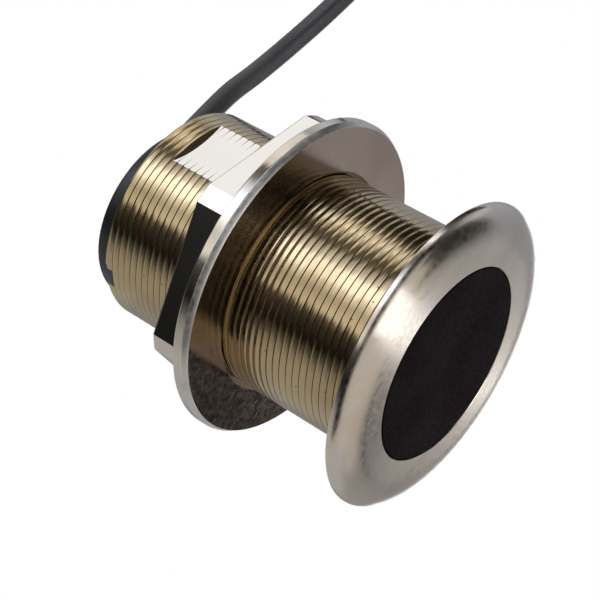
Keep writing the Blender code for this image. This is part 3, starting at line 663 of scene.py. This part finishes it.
@dataclass
class Housing:
    """The bronze stem with its thread, wrench flats and keyway, and the flange round the window."""

    radius: float = 25.4 * MM
    wall: float = 3.9 * MM
    height: float = 74.8 * MM
    edge: float = 0.7 * MM
    flange: float = 35.2 * MM
    rise: float = 3.7 * MM
    shoulder: float = 8.0 * MM
    rim: float = 0.5 * MM
    fillet: float = 0.8 * MM
    ledge: float = 1.0 * MM
    seat: float = 4.1 * MM
    seat_edge: float = 0.15 * MM
    rim_round: float = 0.2 * MM
    pitch: float = 1.75 * MM
    depth: float = 0.85 * MM
    columns: int = 216
    flat_depth: float = 1.2 * MM
    flat_length: float = 23.0 * MM
    flat_to_end: float = 6.2 * MM
    flat_angle: float = math.radians(-52.2)
    key_angle: float = math.radians(-142.5)
    key_width: float = 4.6 * MM
    key_depth: float = 2.3 * MM
    key_step_width: float = 1.6 * MM
    key_step_depth: float = 0.7 * MM
    thread_places: tuple[float, ...] = (0.0, 0.34, 0.42, 0.44, 0.46, 0.48, 0.50, 0.52, 0.56, 0.66)
    thread_heights: tuple[float, ...] = (1.0, 0.985, 0.94, 0.65, 0.20, 0.0, 0.52, 0.81, 0.93, 0.967)

    @property
    def back(self) -> float:
        """The height of the flange's back."""
        return self.rise + self.rim

    def thread(self) -> tuple[np.ndarray, np.ndarray]:
        """The stem's outside as one helical grid.

        Each row follows the helix: its height grows by one pitch in a turn, and its radius is the crest's
        less the thread's depth at that place of the profile. Heights are held between the two ends of the
        thread, where the depth runs out to nothing.

        Returns:
            Points and faces.
        """
        places, heights = np.array(self.thread_places), np.array(self.thread_heights)
        low, high = self.back + self.fillet, self.height - self.edge
        turns = round((high - low) / self.pitch)
        pitch = (high - low) / turns
        per_turn = len(places)
        rows = per_turn * (turns + 1) + 1
        number = np.arange(rows)
        place = number // per_turn + places[number % per_turn]
        angle = round_angles(self.columns)
        z = low + pitch * (place[:, None] - 1 + angle[None, :] / (2 * np.pi))
        z = np.clip(z, low, high)
        fade = np.clip(np.minimum(z - low, high - z) / (0.5 * self.pitch), 0.0, 1.0)
        sunk = (1 - heights[number % per_turn])[:, None] * self.depth
        r = self.radius - sunk * fade
        points = turned_points(r, angle, z)
        faces = grid_faces(rows, self.columns, False, False)
        row = np.arange(rows)
        last = row * self.columns + self.columns - 1
        first = np.minimum(row + per_turn, rows - 1) * self.columns
        seam = np.stack([last[:-1], first[:-1], first[1:], last[1:]], axis=-1)
        return points, np.concatenate([faces, seam])

    def profile(self) -> list[tuple[float, float]]:
        """The rest of the turned outline, from the thread's rear end inside and round to its front end.

        Returns:
            Radius and height of each point.
        """
        bore, seat_r = self.radius - self.wall, self.radius - self.wall + self.ledge
        shoulder = self.flange - self.shoulder
        turn = np.linspace(0.0, np.pi / 2, 25)
        face = [(shoulder + self.shoulder * math.sin(a), self.rise * (1 - math.cos(a))) for a in turn]
        corner = np.linspace(-np.pi / 2, -np.pi, 7)
        root = [
            (self.radius + self.fillet * (1 + math.cos(a)), self.back + self.fillet * (1 + math.sin(a)))
            for a in corner
        ]
        rim = [(self.flange, self.rise), (self.flange, self.back), (self.radius, self.back)]
        edge = self.edge
        return [
            (self.radius, self.height - edge),
            (self.radius - edge * 0.3, self.height - edge * 0.25),
            (self.radius - edge, self.height),
            (bore + edge / 2, self.height),
            (bore, self.height - edge / 2),
            (bore, self.seat),
            (seat_r, self.seat),
            (seat_r, self.seat_edge),
            (seat_r + self.seat_edge, 0.0),
            *face,
            *round_corner(rim, self.rim_round),
            *root,
        ]

    def build(self, palette: Palette) -> Object:
        """Make the housing.

        Args:
            palette: The finishes.

        Returns:
            The piece, which stands for the CAD's housing.
        """
        points, faces = self.thread()
        outline = np.array(self.profile())
        angle = round_angles(self.columns)
        rest = turned_points(outline[:, :1], angle, outline[:, 1:])
        more = grid_faces(len(outline), self.columns, False, True) + len(points)
        looks = [palette.bronze[metal] for metal in (Metal.THREAD, Metal.FACE, Metal.MILLED)]
        corners, quads = np.concatenate([points, rest]), np.concatenate([faces, more])
        piece = link_mesh("housing_bronze", corners, quads, looks)
        cut(piece, self._tools())
        mesh = piece.data
        centres, normals = polygon_values(mesh, "center"), polygon_values(mesh, "normal")
        wide = np.hypot(centres[:, 0], centres[:, 1]) > self.radius + 0.1 * self.fillet
        face = (centres[:, 2] < self.back + self.fillet) & (wide | (centres[:, 2] < self.seat))
        across = np.array([math.cos(self.flat_angle), math.sin(self.flat_angle), 0.0])
        from_flat = np.abs(np.abs(centres @ across) - (self.radius - self.flat_depth))
        milled = (np.abs(normals @ across) > 0.9999) & (from_flat < 0.03 * MM)
        mesh.polygons.foreach_set("material_index", np.where(milled, 2, face.astype(int)).astype(np.int32))
        smooth(piece, 40.0)
        mesh.polygons.foreach_set("use_smooth", ~milled)
        return piece

    def _tools(self) -> list[Object]:
        """The blocks that mill the flats, the keyway and its step.

        Returns:
            The blocks.
        """
        z = self.height - self.flat_to_end - self.flat_length / 2
        size = (self.radius, self.radius * 2, self.flat_length)
        x = self.radius - self.flat_depth + self.radius / 2
        tools = [block(f"flat_{i}", size, (x, 0, z), self.flat_angle + i * math.pi) for i in range(2)]
        middle = self.radius - self.wall / 2
        for name, width, depth, shift in (
            ("keyway", self.key_width, self.key_depth, 0.0),
            ("keyway_step", self.key_step_width, self.key_step_depth, self.key_width / 2),
        ):
            size = (self.wall * 3, width + GAP, depth * 2)
            tools.append(block(name, size, (middle, shift, self.height), self.key_angle))
        return tools


@dataclass
class HullNut:
    """The bronze nut: a round flange, and a hexagon whose corners are turned to narrow lands."""

    bore: float = 25.7 * MM
    bore_chamfer: float = 0.7 * MM
    front: float = 39.5 * MM
    flange: float = 37.4 * MM
    thickness: float = 3.6 * MM
    chamfer_width: float = 0.75 * MM
    chamfer_height: float = 1.3 * MM
    hex_height: float = 8.6 * MM
    across_flats: float = 61.5 * MM
    land: float = 34.3 * MM
    edge: float = 0.35 * MM
    fillet: float = 0.3 * MM
    support: float = 0.1 * MM
    angle: float = math.radians(-50.7)
    columns: int = 360

    def hexagon(self, angle: np.ndarray) -> np.ndarray:
        """The hexagon's radius: the flat's distance over the cosine from its middle, or the land's if less.

        Args:
            angle: Angles about the axis, in radians.

        Returns:
            A radius for each.
        """
        sector = np.pi / 3
        off = (angle - self.angle + sector / 2) % sector - sector / 2
        return np.minimum(self.across_flats / 2 / np.cos(off), self.land)

    def build(self, palette: Palette) -> Object:
        """Make the nut.

        Args:
            palette: The finishes.

        Returns:
            The piece, which stands for the CAD's hull_nut.
        """
        limit = math.acos(self.across_flats / 2 / self.land)
        marks = [self.angle + k * math.pi / 3 + side * limit for k in range(6) for side in (-1, 1)]
        near = np.array([m + d for m in marks for d in (-0.008, -0.003, 0.0, 0.003, 0.008)])
        even = round_angles(self.columns)
        angle = np.unique(np.round(np.concatenate([even, near]) % (2 * np.pi), 6))
        hexagon = self.hexagon(angle)
        hold, edge, fillet = self.support, self.edge, self.fillet
        back = self.front + self.thickness
        end = back + self.hex_height
        rim, slope = self.flange - self.chamfer_width, self.front + self.chamfer_height
        turned = (
            (self.bore, end - self.bore_chamfer),
            (self.bore, self.front + self.bore_chamfer),
            (self.bore + self.bore_chamfer, self.front),
            (rim - hold, self.front),
            (rim + hold * 0.3, self.front + hold),
            (self.flange - hold * 0.6, slope - hold),
            (self.flange, slope + hold),
            (self.flange, slope + hold * 2),
            (self.flange, back - edge - hold),
            (self.flange, back - edge),
            (self.flange - edge * 0.3, back - edge * 0.3),
            (self.flange - edge, back),
        )
        sides = (
            (fillet, back),
            (fillet * 0.25, back + fillet * 0.25),
            (0.0, back + fillet),
            (0.0, back + fillet + hold),
            (0.0, end - edge - hold),
            (0.0, end - edge),
            (-edge * 0.3, end - edge * 0.3),
            (-edge, end),
        )
        ones = np.ones_like(angle)
        levels = [(r * ones, z) for r, z in turned] + [(hexagon + more, z) for more, z in sides]
        levels.append(((self.bore + self.bore_chamfer) * ones, end))
        r = np.array([level[0] for level in levels])
        z = np.array([level[1] for level in levels])[:, None] * ones
        points = turned_points(r, angle, z)
        faces = grid_faces(len(levels), len(angle), True, True)
        looks = [palette.bronze[metal] for metal in (Metal.NUT, Metal.MILLED, Metal.SHADE_PAINTED, Metal.RIM)]
        piece = link_mesh("hull_nut_bronze", points, faces, looks)
        mesh = piece.data
        centres, normals = polygon_values(mesh, "center"), polygon_values(mesh, "normal")
        facing = np.arctan2(normals[:, 1], normals[:, 0]) - self.angle
        off = np.abs((facing + np.pi / 6) % (np.pi / 3) - np.pi / 6)
        inside = np.hypot(centres[:, 0], centres[:, 1]) < self.land - hold * 0.2
        milled = (off < 0.002) & inside & (np.abs(normals[:, 2]) < 0.01) & (centres[:, 2] > back)
        # The nut's front face, which gets the darker bronze of painted shade.
        shade_painted = (centres[:, 2] < self.front + hold * 0.6) & (normals[:, 2] < -0.98)
        chamfer = (centres[:, 2] < slope) & (normals[:, 2] < -0.2) & ~shade_painted
        slots = np.select([milled, shade_painted, chamfer], [1, 2, 3], 0)
        mesh.polygons.foreach_set("material_index", slots.astype(np.int32))
        return smooth(piece, 24.0)


@dataclass
class Cable:
    """The cable: out of the elbow, down to its hank of thirty-six turns, and a short tail to the plug."""

    diameter: float = 5.3 * MM
    elbow_azimuth: float = math.radians(30)
    elbow_rise: float = math.radians(16)
    elbow_bend: float = 6.6 * MM
    elbow_reach: float = 11.5 * MM
    elbow_base: float = 80.8 * MM + GAP
    route: tuple[tuple[float, float, float], ...] = (
        (24.9, 14.4, 92.4), (32.2, 18.6, 92.8), (39.0, 22.4, 92.0), (49.0, 26.8, 90.6),
        (60.0, 29.8, 88.2), (72.0, 31.2, 84.8), (84.0, 31.6, 80.4), (97.0, 31.6, 75.8),
    )  # in millimetres
    spacing: float = 2.4 * MM
    rest: float = 40 * MM
    drop: float = 3.5 * MM
    centre: tuple[float, float] = (150.5 * MM, -1 * MM)
    mean_radius: float = 27.3 * MM
    straight: float = 50 * MM
    lanes: int = 3
    layers: int = 12
    base: float = 1.4 * MM
    tail_run: float = 36 * MM
    plug_height: float = 9.8 * MM
    length: float = 10.0
    sides: int = 12
    arc_steps: int = 16
    straight_steps: int = 6
    bulge: float = 0.42

    @property
    def radius(self) -> float:
        """Half the cable's diameter."""
        return self.diameter / 2

    @property
    def top(self) -> float:
        """The height of the hank's top."""
        return self.base + self.layers * self.diameter

    @property
    def outer_lane(self) -> float:
        """The radius at which the outermost turns lie round the hank's ends."""
        return self.mean_radius + (self.lanes - 1) * self.radius

    @property
    def tail_lane(self) -> float:
        """How far from the hank's middle the tail leaves, beside its lowest turn."""
        return self.outer_lane + self.diameter + GAP

    def elbow_tip(self) -> tuple[np.ndarray, np.ndarray]:
        """Where the cable leaves the elbow.

        Returns:
            The middle of the elbow's end face, and the cable's direction there.
        """
        away = np.array([math.cos(self.elbow_azimuth), math.sin(self.elbow_azimuth), 0.0])
        up = np.array([0.0, 0.0, 1.0])
        turn = math.pi / 2 - self.elbow_rise
        end = up * self.elbow_base + self.elbow_bend * ((1 - math.cos(turn)) * away + math.sin(turn) * up)
        heading = math.cos(self.elbow_rise) * away + math.sin(self.elbow_rise) * up
        return end + heading * self.elbow_reach, heading

    def free_part(self) -> np.ndarray:
        """The part from the elbow to the hank's top: an even Catmull-Rom curve through the route's points.

        Returns:
            Its points.
        """
        tip, heading = self.elbow_tip()
        start = tip + heading * GAP
        rest = np.array([self.centre[0], self.centre[1] + self.outer_lane, self.top + GAP + self.radius])
        settle = [
            rest + np.array([-self.rest, 0, self.drop]),
            rest + np.array([-self.rest * 0.6, 0, self.drop * 0.2]),
            rest + np.array([-self.rest * 0.25, 0, 0]),
        ]
        along = rest + np.array([self.straight / 2, 0, 0])
        route = np.array(self.route) * MM
        points = np.array([start, start + heading * self.radius, *route, *settle, rest, along])
        return even_curve(points, self.spacing)

    def wound_part(self) -> np.ndarray:
        """The turns, from the top layer's outermost lane down to the floor, clockwise seen from above.

        A turn has four stretches: the +X end, the -Y side, the -X end and the +Y side. On the +Y side each
        turn moves one lane over by a smooth step, or at a layer's last lane one layer down, where it bulges
        aside so that its neighbours stay a diameter away. The last turn moves out to the tail's lane.

        Returns:
            Their points.
        """
        d, turns, half = self.diameter, self.lanes * self.layers, self.straight / 2
        arc = np.arange(self.arc_steps) / self.arc_steps
        side = np.arange(self.straight_steps) / self.straight_steps
        one_turn = np.concatenate([arc, 1 + side, 2 + arc, 3 + side])
        v = np.append((np.arange(turns)[:, None] * 4 + one_turn[None, :]).ravel(), turns * 4 - 1e-9)
        turn, stretch = (v // 4).astype(int), (v % 4).astype(int)
        share = v % 1.0
        layer, step = np.divmod(turn, self.lanes)
        moved = np.where(stretch == 3, smoothstep(share), 0.0)
        last, final = step == self.lanes - 1, turn == turns - 1
        lane = step + np.where(last, 0.0, moved)
        inward = layer % 2 == 0
        r = np.where(inward, self.outer_lane - lane * d, self.outer_lane - (self.lanes - 1 - lane) * d)
        bump = np.where(last & ~final & (stretch == 3), 16 * share**2 * (1 - share) ** 2, 0.0)
        r = r + np.where(inward, -1, 1) * bump * self.bulge * d
        r = r + np.where(final, moved, 0.0) * (self.tail_lane - self.outer_lane)
        z = self.top - self.radius - (layer + np.where(last & ~final, moved, 0.0)) * d
        z = z + np.where((turn == 0) & (stretch == 0), 1 - smoothstep(share), 0.0) * (d + GAP)
        angle = np.where(stretch == 0, np.pi / 2 - np.pi * share, -np.pi / 2 - np.pi * share)
        out, aside = r * np.cos(angle), r * np.sin(angle)
        x = np.choose(stretch, [half + out, half * (1 - 2 * share), out - half, half * (2 * share - 1)])
        y = np.choose(stretch, [aside, -r, aside, r])
        return np.stack([self.centre[0] + x, self.centre[1] + y, z], axis=-1)

    def tail_part(self) -> np.ndarray:
        """The straight tail beside the hank's end, rising by a smooth step to the plug's axis.

        Returns:
            Its points.
        """
        share = np.linspace(0.0, 1.0, 24)[1:]
        low = self.base + self.radius
        z = low + (self.plug_height - low) * smoothstep((share - 0.12) / 0.63)
        x = self.centre[0] + self.straight / 2 + share * (self.tail_run - GAP)
        return np.stack([x, np.full_like(share, self.centre[1] + self.tail_lane), z], axis=-1)

    def path(self) -> np.ndarray:
        """The whole cable's centreline."""
        return np.concatenate([self.free_part()[:-1], self.wound_part(), self.tail_part()])

    def build(self, palette: Palette) -> tuple[Object, np.ndarray]:
        """Make the cable.

        Args:
            palette: The finishes.

        Returns:
            The piece, and the points that its middle follows.
        """
        path = self.path()
        log.info("cable: %.3f m", np.linalg.norm(np.diff(path, axis=0), axis=1).sum())
        piece = tube("cable_jacket", path, self.radius, self.sides, palette.moulded["jacket"])
        return piece, path


def smoothstep(value: np.ndarray) -> np.ndarray:
    """A smooth step from 0 to 1: three times the square less twice the cube, held outside."""
    held = np.clip(value, 0.0, 1.0)
    return held * held * (3 - 2 * held)


def even_curve(points: np.ndarray, spacing: float) -> np.ndarray:
    """Evenly spaced points on the Catmull-Rom curve through given points.

    Args:
        points: The points that the curve passes through.
        spacing: The distance wanted between points.

    Returns:
        The curve's points, with both ends.
    """
    ends = np.concatenate([[2 * points[0] - points[1]], points, [2 * points[-1] - points[-2]]])
    t = np.linspace(0.0, 1.0, 24, endpoint=False)[None, :, None]
    a, b, c, d = (ends[i : len(ends) - 3 + i, None, :] for i in range(4))
    fine = 0.5 * (2 * b + (c - a) * t + (2 * a - 5 * b + 4 * c - d) * t**2 + (3 * b - a - 3 * c + d) * t**3)
    fine = np.concatenate([fine.reshape(-1, 3), points[-1:]])
    walked = np.concatenate([[0.0], np.cumsum(np.linalg.norm(np.diff(fine, axis=0), axis=1))])
    count = max(2, round(walked[-1] / spacing))
    wanted = np.linspace(0.0, walked[-1], count + 1)
    return np.stack([np.interp(wanted, walked, fine[:, i]) for i in range(3)], axis=-1)


def tube(name: str, path: np.ndarray, radius: float, sides: int, look: Material) -> Object:
    """A round tube along a path, closed at its ends.

    Each ring of points lies square to the path: across it stands a direction level with the floor, and the
    third direction is their cross product.

    Args:
        name: The piece's name.
        path: The middle of the tube.
        radius: The tube's radius.
        sides: Points in a ring.
        look: Its material.

    Returns:
        The object.
    """
    along = np.gradient(path, axis=0)
    along /= np.linalg.norm(along, axis=1)[:, None]
    across = np.cross(along, [0.0, 0.0, 1.0])
    across /= np.linalg.norm(across, axis=1)[:, None]
    third = np.cross(across, along)
    angle = round_angles(sides)
    ring = path[:, None, :] + radius * (
        np.cos(angle)[None, :, None] * across[:, None, :] + np.sin(angle)[None, :, None] * third[:, None, :]
    )
    count = len(path)
    points = np.concatenate([ring.reshape(-1, 3), path[:1], path[-1:]])
    caps = []
    for first, middle in ((0, count * sides), ((count - 1) * sides, count * sides + 1)):
        caps += [(first + k, first + (k + 1) % sides, middle) for k in range(sides)]
    made = link_mesh(name, points, grid_faces(count, sides, False, True).tolist() + caps, (look,))
    return smooth(made, 60.0)


def paint(mesh: Mesh, look: Material) -> None:
    """Give a mesh one finish."""
    mesh.materials.clear()
    mesh.materials.append(look)


def dressed_copy(node: str, look: Material, degrees: float = 30.0) -> Object:
    """A smooth copy of a CAD node, in its place and with its own finish.

    Args:
        node: The CAD node that it stands for.
        look: Its material.
        degrees: Edges sharper than this stay sharp.

    Returns:
        The new piece.
    """
    name = f"{node}_dressed"
    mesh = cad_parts[node].data.copy()
    mesh.name = name
    with editing(mesh) as work:
        bmesh.ops.dissolve_limit(work, angle_limit=math.radians(1), verts=work.verts, edges=work.edges)
    paint(mesh, look)
    if "custom_normal" in mesh.attributes:
        mesh.attributes.remove(mesh.attributes["custom_normal"])
    return smooth(linked(name, mesh), degrees)


def hide_from(piece: Object, *rays: str) -> None:
    """Hide a piece from the named kinds of rays."""
    for ray in rays:
        setattr(piece, f"visible_{ray}", False)


@dataclass(frozen=True)
class Panel:
    """A soft-edged lit or dark panel, between two azimuths and two heights in degrees."""

    turn: tuple[float, float]
    tilt: tuple[float, float]
    soft: float
    level: float
    blue: float = 1.0

    def share(self, graph: Graph, azimuth: NodeSocket, height: NodeSocket) -> NodeSocket:
        """How far the panel covers the surroundings in a direction.

        Args:
            graph: The graph that gets the nodes.
            azimuth: The direction's azimuth in degrees.
            height: Its height in degrees.

        Returns:
            The output socket: 1 on the panel and 0 beside it.
        """
        made: object = 1.0
        for value, edges in ((azimuth, self.turn), (height, self.tilt)):
            for sign, edge in ((1, edges[0]), (-1, -edges[1])):
                signed = graph.math("MULTIPLY", value, sign)
                inside = graph.span(signed, edge - self.soft / 2, edge + self.soft / 2)
                made = graph.math("MULTIPLY", made, inside)
        return made


@dataclass
class Studio:
    """The white room: floor, world, soft lamps, and the grey and black cards that only gloss sees.

    A card is an azimuth in degrees, a level and a blueness, and the light eases over from each to the next.
    The panels lie over the cards, the later over the earlier.
    """

    camera_place: tuple[float, float, float] = (-3.61 * MM, -314.62 * MM, -130.25 * MM)
    right: tuple[float, float, float] = (0.4981, 0.40869, -0.76476)
    up: tuple[float, float, float] = (0.86712, -0.23477, 0.43931)
    forward: tuple[float, float, float] = (0.0, 0.88196, 0.47132)
    lens: float = 98.32
    ambient: float = 0.35
    cards: tuple[tuple[float, float, float], ...] = (
        (-180, 0.46, 1.05), (-166, 0.44, 1.05), (-155, 0.30, 1.1), (-146, 0.09, 1.1), (-137, 0.01, 1.0),
        (-119, 0.04, 1.0), (-111, 0.10, 1.0), (-104, 0.95, 1.0), (-90, 0.70, 1.05), (-81, 1.2, 1.15),
        (-75, 2.1, 1.3), (-65, 2.3, 1.35), (-58, 1.15, 1.35), (-53, 0.80, 1.3), (-44, 0.14, 1.0),
        (-36, 0.11, 1.0), (-28, 0.65, 1.2), (-22, 1.55, 1.25), (-17, 0.95, 1.3), (-10, 0.11, 1.0),
        (0, 0.18, 1.2), (12, 0.48, 1.2), (24, 0.60, 1.25), (40, 0.38, 1.35), (74, 0.28, 1.3),
        (100, 0.27, 1.1), (120, 0.32, 1.1), (140, 0.46, 1.2), (180, 0.46, 1.05),
    )
    panels: tuple[Panel, ...] = (
        Panel((-181, 181), (58, 91), 8.0, 0.06),
        Panel((-80, 80), (58, 91), 10.0, 0.55, 1.1),
        Panel((-33, 5), (29.2, 56), 1.0, 0.98),
        Panel((-176, -12), (-54, -6), 8.0, 0.005),
        Panel((-181, 181), (-91, -43), 10.0, 0.54),
        Panel((88, 125), (-50, -33), 5.0, 0.50),
        Panel((-16, 70), (-63, -32), 8.0, 0.03),
        Panel((89, 101), (-34, -24), 2.0, 0.01),
        Panel((79, 88), (-34, -24), 2.0, 0.45, 1.1),
        Panel((68, 107), (2, 18), 4.0, 1.6, 1.1),
    )
    streak: float = 1.7
    streak_blue: float = 1.15
    full: float = 10.0
    distance: float = 3.0
    rows: int = 24
    columns: int = 48
    floor_drop: float = 0.4 * MM

    def build(self) -> None:
        """Make the camera, the world, the floor, the lamps and the cards."""
        self._camera()
        self._world()
        self._floor()
        self._cards()
        self._lamp("overhead_softbox", (0.25, -0.35, 0.95), 0.7, 8.0)
        self._lamp("low_softbox", (0.25, -0.75, -0.55), 0.6, 6.0)
        bpy.context.scene.view_settings.view_transform = "Standard"

    def _camera(self) -> None:
        """Stand the camera low in front of the face, looking up the stem and rolled to the photograph."""
        data = bpy.data.cameras.new("camera")
        data.lens = self.lens
        data.sensor_width = 36.0
        data.clip_start = 0.01
        made = linked("camera", data)
        axes = Matrix((self.right, self.up, [-c for c in self.forward])).transposed().to_4x4()
        made.matrix_world = Matrix.Translation(self.camera_place) @ axes
        bpy.context.scene.camera = made

    def _world(self) -> None:
        """White where it is seen or mirrored, and a soft grey light elsewhere."""
        world = bpy.data.worlds.new("white_room")
        world.use_nodes = True
        bpy.context.scene.world = world
        graph = Graph(world.node_tree)
        back = world.node_tree.nodes["Background"]
        path = graph.add("LightPath")
        seen = graph.math("MAXIMUM", path.outputs["Is Camera Ray"], path.outputs["Is Glossy Ray"])
        seen = graph.math("MAXIMUM", seen, path.outputs["Is Transmission Ray"])
        graph.put(graph.math("MULTIPLY_ADD", seen, 1 - self.ambient, self.ambient), back.inputs["Strength"])
        back.inputs["Color"].default_value = (1.0, 1.0, 1.0, 1.0)

    def _floor(self) -> None:
        """A pale one-sided floor just under the face: seen from above, and clear from below."""
        corners = self.distance * np.array([[-1, -1], [1, -1], [1, 1], [-1, 1]])
        points = np.column_stack([corners, np.full(4, -self.floor_drop)])
        floor = link_mesh("floor", points, np.array([[0, 1, 2, 3]]), ())
        made, graph, shader, _ = new_material("floor_white")
        pale = {"Base Color": rgb((0.86, 0.86, 0.86)), "Roughness": 0.9, "Specular IOR Level": 0.1}
        graph.fill(shader, pale)
        below = graph.add("NewGeometry").outputs["Backfacing"]
        clear = graph.add("BsdfTransparent")
        mix = graph.add("MixShader", {0: below, 1: shader.outputs[0], 2: clear.outputs[0]})
        graph.put(mix.outputs[0], made.node_tree.nodes["Material Output"].inputs[0])
        floor.data.materials.append(made)
        hide_from(floor, "glossy", "diffuse", "shadow", "transmission")

    def _paper(self, level: float, blue: float) -> tuple[float, ...]:
        """A card's colour over the full light: a third of its blueness in green and all of it in blue."""
        return tuple(level * share / self.full for share in (1, 1 + 0.3 * (blue - 1), blue))

    def _cards(self) -> None:
        """A great sphere of cards, whose brightness goes by the azimuth, with lighter and darker panels."""
        tilt = np.linspace(-np.pi / 2, np.pi / 2, self.rows)[:, None]
        points = self.distance * turned_points(np.cos(tilt), round_angles(self.columns), np.sin(tilt))
        sphere = link_mesh("studio_cards", points, grid_faces(self.rows, self.columns, False, True), ())
        made = bpy.data.materials.new("studio_cards")
        made.use_nodes = True
        made.node_tree.nodes.clear()
        graph = Graph(made.node_tree)
        place = graph.add("TexCoord").outputs["Object"]
        way = graph.add("VectorMath", {0: place}, operation="NORMALIZE")
        parts = graph.add("SeparateXYZ", {0: way.outputs[0]}).outputs
        azimuth = graph.math("MULTIPLY", graph.math("ARCTAN2", parts[1], parts[0]), 180 / math.pi)
        height = graph.math("MULTIPLY", graph.math("ARCSINE", parts[2]), 180 / math.pi)
        share = graph.math("ADD", graph.math("DIVIDE", azimuth, 360.0), 0.5)
        stops = [((a + 180) / 360, self._paper(level, blue)) for a, level, blue in self.cards]
        sky = graph.ramp(share, stops)
        for panel in self.panels:
            paper = rgb(self._paper(panel.level, panel.blue))
            sky = graph.blend(panel.share(graph, azimuth, height), sky, paper)
        paper = rgb(self._paper(self.streak, self.streak_blue))
        sky = graph.blend(self._strip(graph, parts), sky, paper)
        emission = graph.add("Emission", {"Color": sky, "Strength": self.full})
        output = graph.add("OutputMaterial", {0: emission.outputs[0]})
        output.is_active_output = True
        sphere.data.materials.append(made)
        made.cycles.emission_sampling = "NONE"
        hide_from(sphere, "camera", "diffuse", "shadow", "transmission")

    @staticmethod
    def _strip(graph: Graph, parts: Sequence[NodeSocket]) -> NodeSocket:
        """Where the long strip light hangs under the face: it widens from the far side to the camera's.

        Args:
            graph: The graph that gets the nodes.
            parts: The direction's three parts.

        Returns:
            The output socket: 1 on the strip and 0 beside it.
        """
        nearer = graph.math("SUBTRACT", 0.54, parts[1])
        middle = graph.math("MULTIPLY_ADD", nearer, 0.092, 0.05)
        half = graph.math("MAXIMUM", graph.math("MULTIPLY_ADD", nearer, 0.143, 0.07), 0.012)
        aside = graph.math("ABSOLUTE", graph.math("SUBTRACT", parts[0], middle))
        off = graph.math("DIVIDE", aside, half)
        inside = graph.math("SUBTRACT", 1.0, graph.span(off, 0.85, 1.15))
        below = graph.span(parts[2], -0.30, -0.26, 1.0, 0.0)
        beyond = graph.span(parts[1], -0.62, -0.50)
        return graph.math("MULTIPLY", graph.math("MULTIPLY", inside, below), beyond)

    @staticmethod
    def _lamp(name: str, place: tuple[float, float, float], size: float, power: float) -> None:
        """A square softbox that looks at the middle of the stem.

        Args:
            name: Its name.
            place: Where it hangs.
            size: Its side.
            power: Its power in watts.
        """
        data = bpy.data.lights.new(name, "AREA")
        data.size = size
        data.energy = power
        made = linked(name, data)
        aim = Vector((0.0, 0.0, 0.035)) - Vector(place)
        made.matrix_world = Matrix.Translation(place) @ aim.to_track_quat("-Z", "Y").to_matrix().to_4x4()
        made.visible_glossy = False


PINS = tuple(f"contact_pin_{i}" for i in range(1, 6))
KEPT_LOOKS = {
    "element_disc": "ceramic",
    "isolation_sleeve": "cork",
    "backing_pad": "cork",
    "solder_signal": "tin",
    "solder_return": "tin",
    "core_signal": "core_blue",
    "core_return": "core_black",
    "core_sensor_a": "core_white",
    "core_sensor_b": "core_brown",
    "temperature_sensor": "resin",
    "potting_resin": "resin",
    "cable_inner_end": "jacket",
    "acoustic_window": "window",
    "plug_seal": "seal",
    "plug_insert": "nylon",
    **{pin: "tin" for pin in PINS},
}
COPIES = {
    "rear_cap": ("cap", "cap_polymer"),
    "strain_relief": ("rubber", "plug_rubber"),
    **{f"coil_tie_{i}": ("tie", "tie_nylon") for i in (1, 2, 3)},
    "plug_boot": ("rubber", "plug_rubber"),
    "plug_shell": ("nylon", "plug_nylon"),
    "plug_collar": ("nylon", "plug_nylon"),
}


def place_piece(piece: Object, slot: str, *nodes: str) -> None:
    """Make a piece ride on the body and hide the CAD nodes that it stands for.

    Args:
        piece: The piece.
        slot: The record's material slot; not used.
        *nodes: The CAD nodes that it stands for.
    """
    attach(piece, "root")
    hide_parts(*nodes)
    log.info("%s: %d faces", piece.name, len(piece.data.polygons))


def main() -> None:
    """Build the studio and every piece, in order."""
    Studio().build()
    palette = Palette()
    cable = Cable()
    cord, path = cable.build(palette)
    place_piece(cord, "cable_jacket", "cable", "cable_coil", "cable_tail")
    dressed = {}
    for node, (look, slot) in COPIES.items():
        dressed[node] = dressed_copy(node, palette.moulded[look])
        place_piece(dressed[node], slot, node)
    for node, look in KEPT_LOOKS.items():
        paint(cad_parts[node].data, palette.moulded[look])
    place_piece(Housing().build(palette), "housing_bronze", "housing")
    place_piece(HullNut().build(palette), "nut_bronze", "hull_nut")


if __name__ == "__main__":
    logging.basicConfig(level=logging.INFO, format="%(name)s: %(message)s")
    main()
